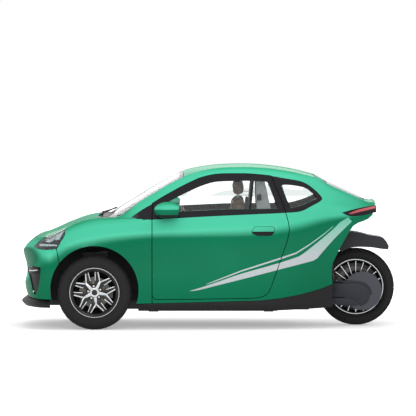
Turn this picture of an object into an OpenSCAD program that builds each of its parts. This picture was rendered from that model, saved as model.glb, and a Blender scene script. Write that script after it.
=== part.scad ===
// Small three wheeled car: two steered front wheels, one driven rear wheel on a swingarm.
// +X forward, +Y to the car's left, +Z up. The origin is on the ground under the middle of its box.

/* [Body] */
// Overall length over the front lip and the tail
body_length = 3113; // [2900:10:3800]
// Width over the front wings
body_width = 1500; // [1400:10:1850]
// Height of the roof above the ground
body_height = 1346; // [1250:2:1640]
// Gap between neighbouring outer panels
panel_gap = 6; // [5:0.5:9]
// Gap at the front edge of each door, which turns in behind the wing
hinge_gap = 10; // [9:0.5:12]
// Gap at the hinge line of the hood and of the tailgate
lid_gap = 12; // [10:0.5:16]
// Clearance between pieces that sit on each other
seat_fit = 0.3; // [0.2:0.05:0.4]
// Thickness of the thin outer panels
skin = 6; // [4:0.5:9]
// Thickness of the doors and pillars
wall = 50; // [36:1:60]
// Thickness of the window frames above the waist
frame_wall = 28; // [20:1:32]
// Thickness of the glass
glass = 5; // [4:0.5:7]
// How far the glass sits in from the paint
glass_inset = 5; // [3:0.5:8]

/* [Front wheels] */
// Outer diameter of the front tyres
front_tyre_d = 610; // [540:1:640]
// Width of the front tyres
front_tyre_w = 165; // [135:1:190]
// Bead seat diameter of the front rims, 15 inch
front_rim_d = 381; // [330:0.1:420]
// Distance between the two front wheel planes
front_track = 1300; // [1270:2:1600]
// Front axle position ahead of the origin
front_axle_x = 935; // [925:1:945]

/* [Rear wheel] */
// Outer diameter of the rear tyre
rear_tyre_d = 642; // [560:1:650]
// Width of the rear tyre
rear_tyre_w = 150; // [120:1:180]
// Bead seat diameter of the rear rim, 17 inch
rear_rim_d = 431.8; // [380:0.1:450]
// Rear axle position behind the origin
rear_axle_x = 1236; // [1220:1:1290]

/* [Cabin] */
// Thickness of the floor
floor_h = 25; // [15:1:40]
// Ground clearance under the floor
ground_gap = 150; // [130:1:180]
// Width of one seat
seat_w = 440; // [380:5:460]
// Sideways distance of each seat from the middle
seat_y = 290; // [250:5:320]
// Diameter of the steering wheel
wheel_rim_d = 370; // [320:5:400]

/* [Fittings] */
// Running clearance of each wheel bearing
bearing_fit = 0.05; // [0.02:0.01:0.08]
// Radius of the wheel spindles
spindle_r = 26; // [20:1:32]
// Bore radius of the towing eye thread, M18
tow_r = 9; // [7:0.5:11]
// Distance between the number plate bolts
plate_pitch = 220; // [180:5:300]
// Length of a jacking pad
pad_l = 80; // [50:5:120]
// Width of a jacking pad
pad_w = 60; // [40:5:90]
// Height of a jacking pad below the floor
pad_h = 8; // [4:1:20]

/* [Hidden] */

// Colours
paint = "#35B590";
black = "#1D1D20";
dark_grey = "#2C2D33";
steel_grey = "#454955";
smoked = "#5A6068";
leather = "#5A4230";
alloy = "#C4C7CA";
lamp_red = "#B23A3A";

// The outer skin is drawn for these sizes and stretched to the sizes above
drawn_length = 3113;
drawn_width = 1500;
drawn_height = 1346;
sx = body_length / drawn_length;
sy = body_width / drawn_width;
sz = body_height / drawn_height;

// Front end: where the side sections turn round the corner, and how square the corner is
corner_x = 1300;
corner_power = 0.83;
tail_x = -1400;

// Rails that run along the body side, from the sill up to the roof seam.
// Each row is a station [x, half width, height]; the last row of numbers is the rail's point
// on the middle of the front end, [x, height].
rail_tables = [
    [[-1400, 330, 700], [-1200, 405, 470], [-1031, 470, 350], [-935, 520, 320], [-767, 600, 280],
        [-600, 652, 254], [-433, 680, 236], [-266, 692, 230], [69, 700, 222], [403, 703, 213],
        [587, 703, 205], [935, 700, 215], [1300, 698, 250]],
    [[-1400, 352, 780], [-1200, 440, 590], [-1000, 530, 450], [-800, 620, 390], [-600, 682, 350],
        [-300, 718, 335], [0, 728, 330], [560, 735, 330], [935, 742, 330], [1300, 722, 330]],
    [[-1400, 372, 850], [-1200, 468, 690], [-1000, 556, 585], [-800, 636, 530], [-600, 692, 505],
        [-300, 727, 490], [0, 736, 485], [560, 742, 480], [935, 750, 480], [1300, 732, 450]],
    [[-1400, 388, 905], [-1200, 494, 790], [-1000, 580, 710], [-800, 654, 672], [-600, 703, 650],
        [-300, 734, 640], [0, 741, 640], [560, 745, 640], [935, 752, 640], [1300, 728, 575]],
    [[-1400, 402, 945], [-1200, 512, 880], [-1000, 598, 835], [-800, 668, 812], [-600, 714, 800],
        [-300, 742, 792], [0, 748, 790], [560, 747, 795], [935, 742, 780], [1170, 727, 715],
        [1300, 704, 665]],
    [[-1400, 404, 968], [-1269, 474, 955], [-1102, 548, 970], [-935, 606, 968], [-800, 640, 962],
        [-600, 674, 950], [-300, 697, 936], [0, 704, 922], [236, 704, 912], [570, 698, 900],
        [737, 690, 900], [935, 682, 884], [1170, 678, 800], [1300, 664, 726]],
    [[-1400, 372, 990], [-1269, 432, 995], [-1102, 480, 1045], [-935, 527, 1085], [-800, 556, 1102],
        [-600, 586, 1112], [-300, 611, 1115], [0, 621, 1100], [110, 624, 1080], [236, 630, 1045],
        [403, 640, 995], [570, 650, 950], [737, 655, 922], [935, 651, 903], [1170, 640, 826],
        [1300, 620, 750]],
    [[-1400, 332, 1016], [-1269, 386, 1037], [-1102, 432, 1112], [-935, 471, 1193], [-800, 490, 1243],
        [-600, 508, 1281], [-300, 525, 1304], [0, 538, 1284], [110, 546, 1249], [236, 560, 1192],
        [403, 584, 1104], [570, 608, 1012], [737, 628, 929], [935, 636, 911], [1170, 618, 833],
        [1300, 590, 763]],
    [[-1400, 300, 1030], [-1319, 328, 1040], [-1269, 350, 1063], [-1185, 376, 1101],
        [-1102, 400, 1139], [-1018, 423, 1176], [-935, 446, 1221], [-893, 453, 1243],
        [-809, 461, 1267], [-642, 472, 1302], [-475, 481, 1325], [-391, 485, 1330], [-266, 491, 1333],
        [-140, 496, 1330], [-57, 501, 1322], [27, 507, 1308], [110, 514, 1287], [177, 521, 1263],
        [236, 528, 1235], [319, 538, 1194], [403, 550, 1145], [487, 562, 1096], [570, 576, 1046],
        [654, 590, 983], [737, 604, 932], [830, 616, 922], [930, 622, 914], [1072, 616, 879],
        [1170, 602, 834], [1300, 562, 767]]
];
rail_fronts = [[1505, 262], [1528, 325], [1530, 385], [1503, 455], [1516, 525], [1532, 575],
    [1541, 610], [1543, 626], [1544, 634]];
seam = rail_tables[len(rail_tables) - 1];
nose_x = 1544;

// Middle line of the hood, windscreen, roof and tailgate, as [x, height]
crown = [[-1400, 1039], [-1385, 1049], [-1344, 1046], [-1319, 1051], [-1269, 1073], [-1185, 1110],
    [-1102, 1148], [-1018, 1185], [-976, 1205], [-893, 1252], [-809, 1278], [-726, 1299],
    [-642, 1315], [-558, 1327], [-475, 1336], [-391, 1343], [-308, 1346], [-224, 1345], [-99, 1340],
    [-15, 1333], [69, 1321], [152, 1305], [211, 1288], [319, 1236], [403, 1191], [487, 1144],
    [570, 1093], [654, 1045], [737, 993], [820, 938], [905, 920], [988, 912], [1072, 889],
    [1155, 861], [1239, 824], [1323, 787], [1400, 757], [1440, 738], [1490, 701], [1532, 655],
    [1544, 634]];

// Places along the body
hood_rear_x = 905;
screen_base_x = 812;
roof_front_x = 206;
hatch_front_x = -886;
rear_glass_x = [-962, -1296];

front_axle_z = front_tyre_d / 2;
rear_axle_z = rear_tyre_d / 2;
wheel_y = front_track / 2;
arch_r = 364;
arch_z = 328;
liner_y = 385;

// Joint places
kingpin_y = wheel_y - 50;
door_hinge = [430, 719];
hood_hinge = [905, 914];
hatch_hinge = [-886, 1250];
column_tilt = 25;
steering_hub = [150, seat_y, 830];

// ---------- Curves ----------

function place(t, x, i = 0) = i >= len(t) - 2 || x < t[i + 1][0] ? i : place(t, x, i + 1);
function rise(t, i, c) = (t[i + 1][c] - t[i][c]) / (t[i + 1][0] - t[i][0]);
function lean(t, i, c) =
    i <= 0 ? rise(t, 0, c)
    : i >= len(t) - 1 ? rise(t, len(t) - 2, c)
    : let (a = t[i][0] - t[i - 1][0], b = t[i + 1][0] - t[i][0])
        (rise(t, i - 1, c) * b + rise(t, i, c) * a) / (a + b);

// Smooth curve through the rows of a table, column c against column 0
function along(t, x, c = 1) =
    let (
        i = place(t, x),
        h = t[i + 1][0] - t[i][0],
        u = max(0, min(1, (x - t[i][0]) / h))
    )
    (2 * u * u * u - 3 * u * u + 1) * t[i][c] + (u * u * u - 2 * u * u + u) * h * lean(t, i, c)
    + (3 * u * u - 2 * u * u * u) * t[i + 1][c] + (u * u * u - u * u) * h * lean(t, i + 1, c);

// Closed or open curve through points, with n steps between each two
function bend(p, n = 5, closed = false) =
    let (m = len(p), last = closed ? m - 1 : m - 2)
    [for (i = [0:last], k = [0:n - 1])
        let (
            u = k / n,
            a = closed ? p[(i + m - 1) % m] : p[max(0, i - 1)],
            b = p[i],
            c = p[(i + 1) % m],
            d = closed ? p[(i + 2) % m] : p[min(m - 1, i + 2)]
        )
        0.5 * (2 * b + (c - a) * u + (2 * a - 5 * b + 4 * c - d) * u * u
            + (3 * b - a - 3 * c + d) * u * u * u)];

// A rail's point at station s: s is x along the side, and past corner_x it is degrees of turn
function rail(k, s) =
    s <= corner_x ? [s, along(rail_tables[k], s, 1), along(rail_tables[k], s, 2)]
    : let (
        a = s - corner_x,
        y = along(rail_tables[k], corner_x, 1),
        z = along(rail_tables[k], corner_x, 2)
    )
    [corner_x + (rail_fronts[k][0] - corner_x) * pow(sin(a), corner_power),
        y * pow(cos(a), corner_power), z + (rail_fronts[k][1] - z) * sin(a) * sin(a)];

function ghost(p, i) =
    i < 0 ? 2 * p[0] - p[1] : i > len(p) - 1 ? 2 * p[len(p) - 1] - p[len(p) - 2] : p[i];

// Cubic B-spline over the control points p
function spline(p, t) =
    let (i = max(0, min(floor(t), len(p) - 2)), u = t - i)
    (pow(1 - u, 3) * ghost(p, i - 1) + (3 * u * u * u - 6 * u * u + 4) * ghost(p, i)
        + (3 * u * u - 3 * u * u * u + 3 * u + 1) * ghost(p, i + 1)
        + u * u * u * ghost(p, i + 2)) / 6;

top_t = len(rail_tables) - 1;

// Inward depth at height step t: thin at the roof seam, and full below it
function depth(deep, t) = deep <= skin ? deep : skin + (deep - skin) * max(0, min(1, (top_t - t - 0.9) / 0.7));

function side_point(s, t, deep, even = false) =
    let (
        p = spline([for (k = [0:top_t]) rail(k, s)], t),
        a = max(0, s - corner_x),
        d = even ? deep : depth(deep, t)
    )
    [p[0] - d * sin(a), p[1] - d * cos(a), p[2]];

// Half width of the body side at x and height z, where x is behind the front corner
function side_y(x, z, low = 0, high = 8, n = 16) =
    let (t = (low + high) / 2)
    n == 0 ? side_point(x, t, 0)[1]
    : side_point(x, t, 0)[2] < z ? side_y(x, z, t, high, n - 1) : side_y(x, z, low, t, n - 1);
// The same in the stretched body's own millimetres
function body_y(x, z) = sy * side_y(x / sx, z / sz);

// Height of the top surface at x, a share v of the way from the middle to the seam
function top_z(x, v) =
    let (edge = x <= corner_x ? along(seam, x, 2) : rail(top_t, turn(x))[2], mid = along(crown, x))
    mid - (mid - min(edge, mid - 2)) * pow(abs(v), 2.2);
function turn(x) = corner_x + asin(pow(max(0, (x - corner_x) / (nose_x - corner_x)), 1 / corner_power));
function seam_y(x) = x <= corner_x ? along(seam, x, 1) : max(4, rail(top_t, turn(min(x, nose_x - 0.5)))[1]);

// Closed solid between two grids of points that have the same rows and columns
module slab(outer, inner) {
    n = len(outer);
    m = len(outer[0]);
    points = [for (g = [outer, inner], row = g, p = row) p];
    o = n * m;
    e = (n - 1) * m;
    faces = concat(
        [for (i = [0:n - 2], j = [0:m - 2]) let (k = i * m + j) each [
            [k, k + m + 1, k + 1], [k, k + m, k + m + 1],
            [o + k, o + k + 1, o + k + m + 1], [o + k, o + k + m + 1, o + k + m]]],
        [for (i = [0:n - 2]) let (k = i * m, l = i * m + m - 1) each [
            [k, o + k + m, k + m], [k, o + k, o + k + m],
            [l, l + m, o + l + m], [l, o + l + m, o + l]]],
        [for (j = [0:m - 2]) each [
            [j, j + 1, o + j + 1], [j, o + j + 1, o + j],
            [e + j, o + e + j + 1, e + j + 1], [e + j, o + e + j, o + e + j + 1]]]
    );
    polyhedron(points, faces, convexity = 6);
}

function steps(from, to, n) = [for (i = [0:n]) from + (to - from) * i / n];

// The left body side from station list s, between depths from and to
module side_shell(s, from = 0, to = skin, t0 = 0, t1 = top_t, rows = 18, even = false)
    scale([sx, sy, sz])
        slab([for (a = s) [for (t = steps(t0, t1, rows)) side_point(a, t, from, even)]],
            [for (a = s) [for (t = steps(t0, t1, rows)) side_point(a, t, to, even)]]);

// The whole front end, up the side and in over the top as far as the hood, between two depths
module front_shell(s, rows = 12) {
    columns = concat([for (a = s) [a, 1]], [for (i = [len(s) - 2:-1:0]) [s[i], -1]]);
    scale([sx, sy, sz])
        slab([for (c = columns) front_column(c[0], c[1], rows, 0)], [for (c = columns) front_column(c[0], c[1], rows, skin)]);
}
function front_column(s, side, rows, deep) = concat(
    [for (t = steps(0, top_t, rows)) let (p = side_point(s, t, deep))
        [p[0], side * p[1], p[2] - (t > top_t - 0.1 ? deep : 0)]],
    [for (share = [0.25, 0.6, 1]) front_band_point(s, side, share, deep)]);
// A point of the strip between the seam and the hood, a share of the strip's width in
function front_band_point(s, side, share, deep) =
    let (
        e = rail(top_t, s),
        a = max(0, s - corner_x),
        w = share * (26 + 95 * sin(a)),
        x = e[0] - w * sin(a),
        y = e[1] - w * cos(a)
    )
    [x, side * max(0, y), top_z(x, min(1, max(0, y) / seam_y(x))) - deep];

// The hood's outline from above
module hood_plan() scale([sx, sy]) polygon(concat(
    [for (x = steps(hood_rear_x + lid_gap / 2 - panel_gap / 2, 1310, 7)) [x, hood_y(x)]],
    bend([[1310, hood_y(1310)], [1383, 457], [1421, 320], [1438, 0], [1421, -320], [1383, -457],
        [1310, -hood_y(1310)]], 3),
    [for (x = steps(1310, hood_rear_x + lid_gap / 2 - panel_gap / 2, 7)) [x, -hood_y(x)]]));
function hood_y(x) = seam_y(x) - skin - panel_gap / 2 - 0.5;

// The top surface from x0 to x1, in from the seam by edge, between depths from and to
module top_shell(x0, x1, nx, from = 0, to = skin, edge = panel_gap / 2, ny = 12)
    scale([sx, sy, sz])
        slab([for (v = steps(-1, 1, ny)) [for (x = steps(x0, x1, nx)) top_point(x, v, edge, from)]],
            [for (v = steps(-1, 1, ny)) [for (x = steps(x0, x1, nx)) top_point(x, v, edge, to)]]);
function top_point(x, v, edge, down) =
    let (y = seam_y(x) - edge) [x, v * max(2, y), top_z(x, v * max(2, y) / seam_y(x)) - down];

front_turn = [1305, 1311, 1320, 1331, 1343, 1356, 1370, 1390];

// A side view outline, pushed through the body from y0 to y1
module through(y0, y1) scale([sx, sy, sz]) translate([0, y1, 0]) rotate([90, 0, 0]) linear_extrude(y1 - y0)
    children();
module right_side() mirror([0, 1, 0]) children();
// Makes the whole subtree one mesh
module mesh() resize([0, 0, 0]) children();

// ---------- Side view outlines ----------

module door_outline() polygon(concat(
    [[457, 1036], [457, 292]], [for (a = [0:15:90]) [417 + 40 * cos(a), 292 - 40 * sin(a)]],
    [[403, 252], [69, 255], [-350, 261]],
    bend([[-350, 261], [-433, 269], [-475, 290], [-504, 322], [-550, 445], [-600, 587], [-650, 737],
        [-666, 838], [-634, 975], [-600, 1069], [-558, 1167], [-524, 1258]], 3),
    bend([[-524, 1260], [-349, 1276], [-224, 1278], [-99, 1276], [-15, 1265], [69, 1242], [152, 1205],
        [236, 1163], [361, 1094], [457, 1036]], 3)));

module door_window_outline() polygon(concat(
    [[405, 962]],
    bend([[405, 1005], [319, 1054], [236, 1097], [152, 1138], [69, 1175], [-15, 1203], [-99, 1217],
        [-324, 1222], [-470, 1216], [-500, 1190], [-534, 1100], [-567, 1009], [-556, 996]], 3),
    [[-556, 995], [-140, 991], [227, 974]]));

module quarter_window_outline() polygon(bend([[-612, 1186], [-700, 1184], [-800, 1163], [-860, 1120],
    [-896, 1082], [-880, 1066], [-790, 1028], [-700, 1003], [-676, 1006], [-655, 1060], [-620, 1150]],
    3, true));

module arch_outline(extra = 0) translate([front_axle_x / sx, arch_z]) circle(r = arch_r + extra, $fn = 72);

trailing_edge = [[-1378, 1002], [-1372, 975], [-1368, 951], [-1361, 932], [-1328, 903], [-1286, 885],
    [-1244, 872], [-1202, 847], [-1169, 801], [-1144, 759], [-1102, 684], [-1060, 600], [-1031, 540],
    [-1022, 500], [-1026, 416], [-1031, 365]];
sill_line = [[-1031, 365], [-935, 329], [-851, 307], [-767, 286], [-600, 257], [-433, 240],
    [-266, 236], [69, 227], [403, 219], [587, 211]];

// The painted body side behind the front wing, up to the roof seam
module body_side_outline() polygon(concat(
    [[830, 1400], [830, 921], [640, 918], [457, 906], [456, 700], [395, 700], [395, 219]],
    [for (i = [len(sill_line) - 3:-1:0]) sill_line[i]],
    [for (i = [len(trailing_edge) - 1:-1:0]) trailing_edge[i]],
    [[-1399, 1036], [-1399, 1400]]));

module fender_outline() difference() {
    polygon([[453, 217], [453, 905], [640, 915], [820, 919], [900, 1000], [1200, 1000], [1200, 745.7],
        [1247, 665], [1226, 560], [1226, 200]]);
    arch_outline();
}

module headlamp_outline(grow = 0) offset(delta = grow) polygon(concat(
    bend([[1250, 664], [1206, 735], [1172, 833], [1240, 802], [1323, 768], [1390, 728], [1440, 680]], 4),
    [[1440, 680], [1400, 662], [1330, 656]]));

module tail_lamp_outline(grow = 0) offset(delta = grow) polygon(concat(
    bend([[-1106, 959], [-1180, 978], [-1280, 998], [-1376, 1012]], 3),
    [[-1420, 1016], [-1420, 953]],
    bend([[-1372, 953], [-1300, 936], [-1202, 926], [-1150, 936], [-1106, 959]], 3)));

module vent_outline(grow = 0) offset(delta = grow) polygon(
    [[1377, 514], [1440, 520], [1493, 500], [1498, 462], [1478, 440], [1452, 330], [1440, 290],
        [1420, 286], [1400, 330], [1384, 420]]);

// ---------- Outer panels ----------

module front_bumper() color(paint) mesh() {
    difference() {
        front_shell(concat(steps(1180, 1300, 3), front_turn));
        for (m = [0, 1]) mirror([0, m, 0]) through(200, 1000) {
            translate([panel_gap / 2, 0]) fender_bumper_cut();
            headlamp_outline(seat_fit);
            vent_outline();
            arch_outline();
        }
        translate([0, 0, 600 * sz]) linear_extrude(500) offset(delta = panel_gap / 2) hood_plan();
        // Way in for a towing eye
        translate([tow_x - 80, tow_y, tow_z]) rotate([0, 90, 0]) cylinder(r = tow_r + 7, h = 200, $fn = 32);
    }
    // Number plate carrier, from the bumper beam to the skin
    translate([1440 * sx + seat_fit, -plate_pitch / 2 - 30, 380 * sz]) cube([88 * sx, plate_pitch + 60, 44]);
}
module fender_bumper_cut() polygon([[0, 0], [1226, 0], [1226, 560], [1247, 665], [1200, 745.7], [1200, 1400],
    [0, 1400]]);

module front_lip() color(black) mesh() for (m = [0, 1]) mirror([0, m, 0])
    slab([for (a = steps(90, 0, 12)) lip_row(a, 0)], [for (a = steps(90, 0, 12)) lip_row(a, 70)]);
// Half of the lip's section at a degrees of turn, moved in by deep
function lip_row(a, deep) = [for (p = [[60, 252], [40, 246], [0, 214], [4, 204], [26, 182], [60, 176]])
    [1302 * sx + (255 * sx - p[0] - deep) * pow(sin(a), corner_power),
        (708 * sy - p[0] - deep) * pow(cos(a), corner_power), p[1] * sz]];

module hood() color(paint) mesh() difference() {
    intersection() {
        top_shell(hood_rear_x - 20, 1450, 14, 0, 18, 2, 10);
        translate([0, 0, 600 * sz]) linear_extrude(500) offset(delta = -panel_gap / 2) hood_plan();
    }
    lid_pockets(hood_hinge, hood_hinge_y);
}
// Room round each hinge barrel of a lid
module lid_pockets(axis, y) for (m = [-1, 1])
    translate([axis[0] * sx, m * y * sy - lid_hinge_w / 2 - 4, axis[1] * sz]) rotate([-90, 0, 0])
        cylinder(r = lid_barrel_r + 4, h = lid_hinge_w + 8, $fn = 20);
hood_hinge_y = 420;
hatch_hinge_y = 300;
lid_barrel_r = 6;
lid_hinge_w = 54;

module cowl_panel() color(black) mesh()
    difference() {
        top_shell(screen_base_x + seat_fit, hood_rear_x - lid_gap / 2, 6, 4, 26, skin + seat_fit);
        lid_pockets(hood_hinge, hood_hinge_y);
    }

module windshield() color(smoked) mesh()
    top_shell(roof_front_x + seat_fit, screen_base_x, 16, 3, 3 + glass * 1.2, skin + seat_fit, 10);

module roof_panel() color(paint) mesh()
    difference() {
        top_shell(hatch_front_x + lid_gap / 2, roof_front_x, 18, 0, 16, skin + 0.9, 10);
        lid_pockets(hatch_hinge, hatch_hinge_y);
    }

module hatch() color(paint) mesh() difference() {
    scale([sx, sy, sz]) slab(
        [for (v = steps(-1, 1, 10)) concat(
            [for (x = steps(hatch_front_x - lid_gap / 2, -1386, 11)) top_point(x, v, skin + panel_gap, 0)],
            [for (r = hatch_tail) [r[0] + 22 * v * v, v * r[2], r[1]]])],
        [for (v = steps(-1, 1, 10)) concat(
            [for (x = steps(hatch_front_x - lid_gap / 2, -1372, 11)) top_point(x, v, skin + panel_gap, 16)],
            [for (r = hatch_tail) [r[0] + 22 * v * v + 20, v * r[2], r[1] - (r[1] > 1030 ? 16 : 0)]])]);
    rear_glass_hole();
    lid_pockets(hatch_hinge, hatch_hinge_y);
}
// The tailgate's lip and the upright part under it, as [x, height, half width]
hatch_tail = [[-1399, 1036, 282], [-1378, 1000, 286], [-1368, 968, 294], [-1362, 940, 300]];
module rear_glass_hole(shrink = 0)
    translate([0, 0, 900 * sz]) linear_extrude(500 * sz) scale([sx, sy]) offset(delta = -shrink) polygon(concat(
        [for (x = steps(rear_glass_x[0], rear_glass_x[1], 6)) [x, seam_y(x) - 52]],
        [for (x = steps(rear_glass_x[1], rear_glass_x[0], 6)) [x, 52 - seam_y(x)]]));
module rear_glass() color(smoked) mesh() intersection() {
    top_shell(rear_glass_x[1] - 20, rear_glass_x[0] + 20, 9, 3, 3 + glass * 1.2, 20, 8);
    rear_glass_hole(0.3);
}

module fender() mesh() difference() {
    intersection() {
        side_shell(steps(451, 1263, 12), 0, skin, 0, top_t, 15);
        through(0, 1000) translate([-panel_gap / 2, 0]) fender_outline();
    }
    through(0, 1000) {
        headlamp_outline(seat_fit);
        translate([457 - 400, 0]) square([400 + hinge_gap, 1200]);
    }
}
module left_fender() color(paint) fender();
module right_fender() color(paint) right_side() fender();

module body_side() mesh() difference() {
    intersection() {
        side_shell(concat(steps(tail_x - 3.17, 561.3, 24), [616.7, 681.3, 752.9, 816.3]), 0, wall, 0, top_t, 13);
        through(-10, 1000) body_side_outline();
    }
    through(-20, 1010) {
        offset(delta = panel_gap) door_outline();
        quarter_window_outline();
        tail_lamp_outline(seat_fit);
    }
}
module left_body_side() color(paint) body_side();
module right_body_side() color(paint) right_side() body_side();

// A door is a thin skin over its whole outline, and a deeper box set in from its edges
module door() mesh() difference() {
    intersection() {
        side_shell(door_stations, 0, wall, 0, top_t, 12);
        through(0, 1000) door_outline();
    }
    // The box under the skin is set in from the edges
    difference() {
        side_shell(door_stations, skin + 1.3, wall + 30, -0.3, top_t, 12, true);
        through(-20, 1010) offset(delta = -16) door_outline();
    }
    // Thin frame round the window
    intersection() {
        side_shell(door_stations, frame_wall, wall + 40, -0.3, top_t, 12, true);
        through(-20, 1010) translate([-800, 983]) square([1400, 400]);
    }
    through(-30, 1020) {
        door_window_outline();
        handle_outline();
    }
    // Room for the hinges behind the skin
    for (z = door_hinge_z) translate([(door_hinge[0] - 16) * sx, 0, z * sz - 34])
        linear_extrude(68) polygon([[0, 0], [80, 0], [80, door_skin_y(z) + seat_fit + 0.4], [0, door_skin_y(z) + seat_fit + 0.4]]);
}
door_stations = steps(-703.7, 483.1, 12);
module handle_outline() polygon([[-366, 800], [-386, 784], [-520, 790], [-540, 806], [-520, 808], [-386, 806]]);
module left_door() color(paint) door();
module right_door() color(paint) right_side() door();

module door_glass() mesh() intersection() {
    side_shell(steps(-640, 430, 12), glass_inset, glass_inset + glass, 5, 8, 9, true);
    through(0, 1000) offset(delta = -0.3) door_window_outline();
}
module left_door_glass() color(smoked, 0.5) door_glass();
module right_door_glass() color(smoked, 0.5) right_side() door_glass();

module quarter_glasses() color(smoked, 0.5) mesh() for (m = [0, 1]) mirror([0, m, 0]) intersection() {
    side_shell(steps(-940, -580, 6), glass_inset, glass_inset + glass, 5, 8, 8, true);
    through(0, 1000) offset(delta = -0.3) quarter_window_outline();
}

module tail_lamps() color(lamp_red) mesh() for (m = [0, 1]) mirror([0, m, 0]) intersection() {
    side_shell(steps(tail_x, -1080, 8), 1, 34, 3, 7.5, 9, true);
    through(0, 1000) intersection() {
        tail_lamp_outline();
        translate([-1372, 0]) square([400, 2000]);
    }
}

// Panel across the tail between the two sides, below the tailgate
module rear_panel() color(paint) mesh() scale([sx, sy, sz]) {
    slab([for (r = rear_rows) [for (v = steps(-1, 1, 10)) rear_point(r, v, 0)]],
        [for (r = rear_rows) [for (v = steps(-1, 1, 10)) rear_point(r, v, 18)]]);
}
rear_rows = [[-1350, 930], [-1322, 908], [-1280, 890], [-1236, 874]];
function rear_point(r, v, deep) =
    [r[0] + 14 * v * v + deep, v * (side_y(r[0] + 14 + deep, r[1] + deep * 0.4) - wall - 2.6),
        r[1] + deep * 0.4];

module headlamps() color("#8FA3A0") mesh() for (m = [0, 1]) mirror([0, m, 0]) intersection() {
    side_shell(concat(steps(1140, 1300, 4), front_turn), 1, 40, 3.2, top_t, 10);
    through(0, 1000) headlamp_outline();
}

// ---------- Lower body ----------

module side_sills() color(black) mesh() for (m = [0, 1]) mirror([0, m, 0]) {
    intersection() {
        scale([sx, sy, sz]) slab([for (x = sill_x) sill_row(x, 0)], [for (x = sill_x) sill_row(x, 1)]);
        through(-10, 1000) polygon(concat([[575, 100], [575, 207]],
            [for (i = [len(sill_line) - 2:-1:0]) sill_line[i] - [0, 3]], [[-1031, 150]]));
    }
}
sill_x = concat(steps(-1041.3, -574, 5), steps(-571, 584.7, 9));
sill_low = [[-1031, 172], [-935, 166], [-726, 159], [-587, 154], [-450, 153], [-300, 153], [575, 153]];
function sill_row(x, inner) =
    let (
        y = along(rail_tables[0], x, 1),
        low = along(sill_low, x),
        in = x > tub_step - 2 ? tub_half + seat_fit : y - 52,
        p = inner == 0 ? [y - 4, y - 2, y - 8, y - 30] : [in, in, in, in]
    )
    [[x, p[3], low], [x, p[2], low + 30], [x, p[1], 205], [x, p[0], 400]];

tub_front = 540;
tub_rear = -836;
tub_half = 625;
tub_step = -570;
scuttle_top = 636;
bulkhead_x = -700;

module floor_tub() color(black) {
    // Floor between the sills, narrower behind the doors
    translate([tub_step * sx, -tub_half * sy, ground_gap]) cube([(tub_front - tub_step) * sx, 2 * tub_half * sy, floor_h]);
    translate([tub_rear * sx, -440 * sy, ground_gap]) cube([(tub_step - tub_rear) * sx + 1, 880 * sy, floor_h]);
    // Scuttle wall, with the foot box in front of it
    difference() {
        union() {
            translate([(tub_front - 20) * sx, -tub_half * sy, ground_gap + 1])
                cube([20, 2 * tub_half * sy, scuttle_top * sz - ground_gap - 1]);
            translate([tub_front * sx, -foot_half * sy, ground_gap]) cube([250 * sx, 2 * foot_half * sy, 450 * sz]);
        }
        translate([(tub_front - 30) * sx, -(foot_half - 20) * sy, ground_gap + floor_h])
            cube([260 * sx, 2 * (foot_half - 20) * sy, 400 * sz]);
    }
    // Bulkhead behind the seats, cut to the body side, with the luggage floor behind it
    translate([bulkhead_x * sx, 0, 0]) rotate([90, 0, 90]) linear_extrude(18) polygon(concat(
        [for (z = steps(ground_gap + 30, 700 * sz, 8)) [bulkhead_y(z), z]],
        [for (z = steps(700 * sz, ground_gap + 30, 8)) [-bulkhead_y(z), z]]));
    translate([bulkhead_x * sx, -430 * sy, ground_gap + floor_h - 1]) cube([18, 860 * sy, 20]);
    translate([tub_rear * sx, -430 * sy, 622 * sz]) cube([(bulkhead_x - tub_rear) * sx + 1, 860 * sy, 16]);
    // Rear cross member and the lugs that carry the swingarm's pivot
    translate([tub_rear * sx, -360, ground_gap + floor_h - 1]) cube([40, 720, 226]);
    for (m = [0, 1]) mirror([0, m, 0]) translate([0, arm_y + arm_t + 8 + 14, 0]) rotate([90, 0, 0]) linear_extrude(14)
        difference() {
            union() {
                translate(arm_pivot) circle(r = 34, $fn = 48);
                translate([arm_pivot[0], arm_pivot[1] - 34]) square([tub_rear * sx + 1 - arm_pivot[0], 68]);
            }
            translate(arm_pivot) circle(r = pivot_r + 0.3, $fn = 48);
        }
    // Jacking pads
    for (x = jack_x, m = [-1, 1]) translate([x * sx - pad_l / 2, m * jack_y * sy - pad_w / 2, ground_gap - pad_h])
        cube([pad_l, pad_w, pad_h + 1]);
    // Door posts
    for (m = [0, 1]) mirror([0, m, 0]) translate([480 * sx, 600 * sy, 230 * sz])
        cube([41 * sx, 88 * sy, 640 * sz]);
}
foot_half = 350;
jack_x = [450, -500];
jack_y = 560;
function bulkhead_y(z) = min(body_y(bulkhead_x * sx, z), 700 * sy) - wall * sy - (z < 366 * sz ? 9 : 5);

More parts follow.
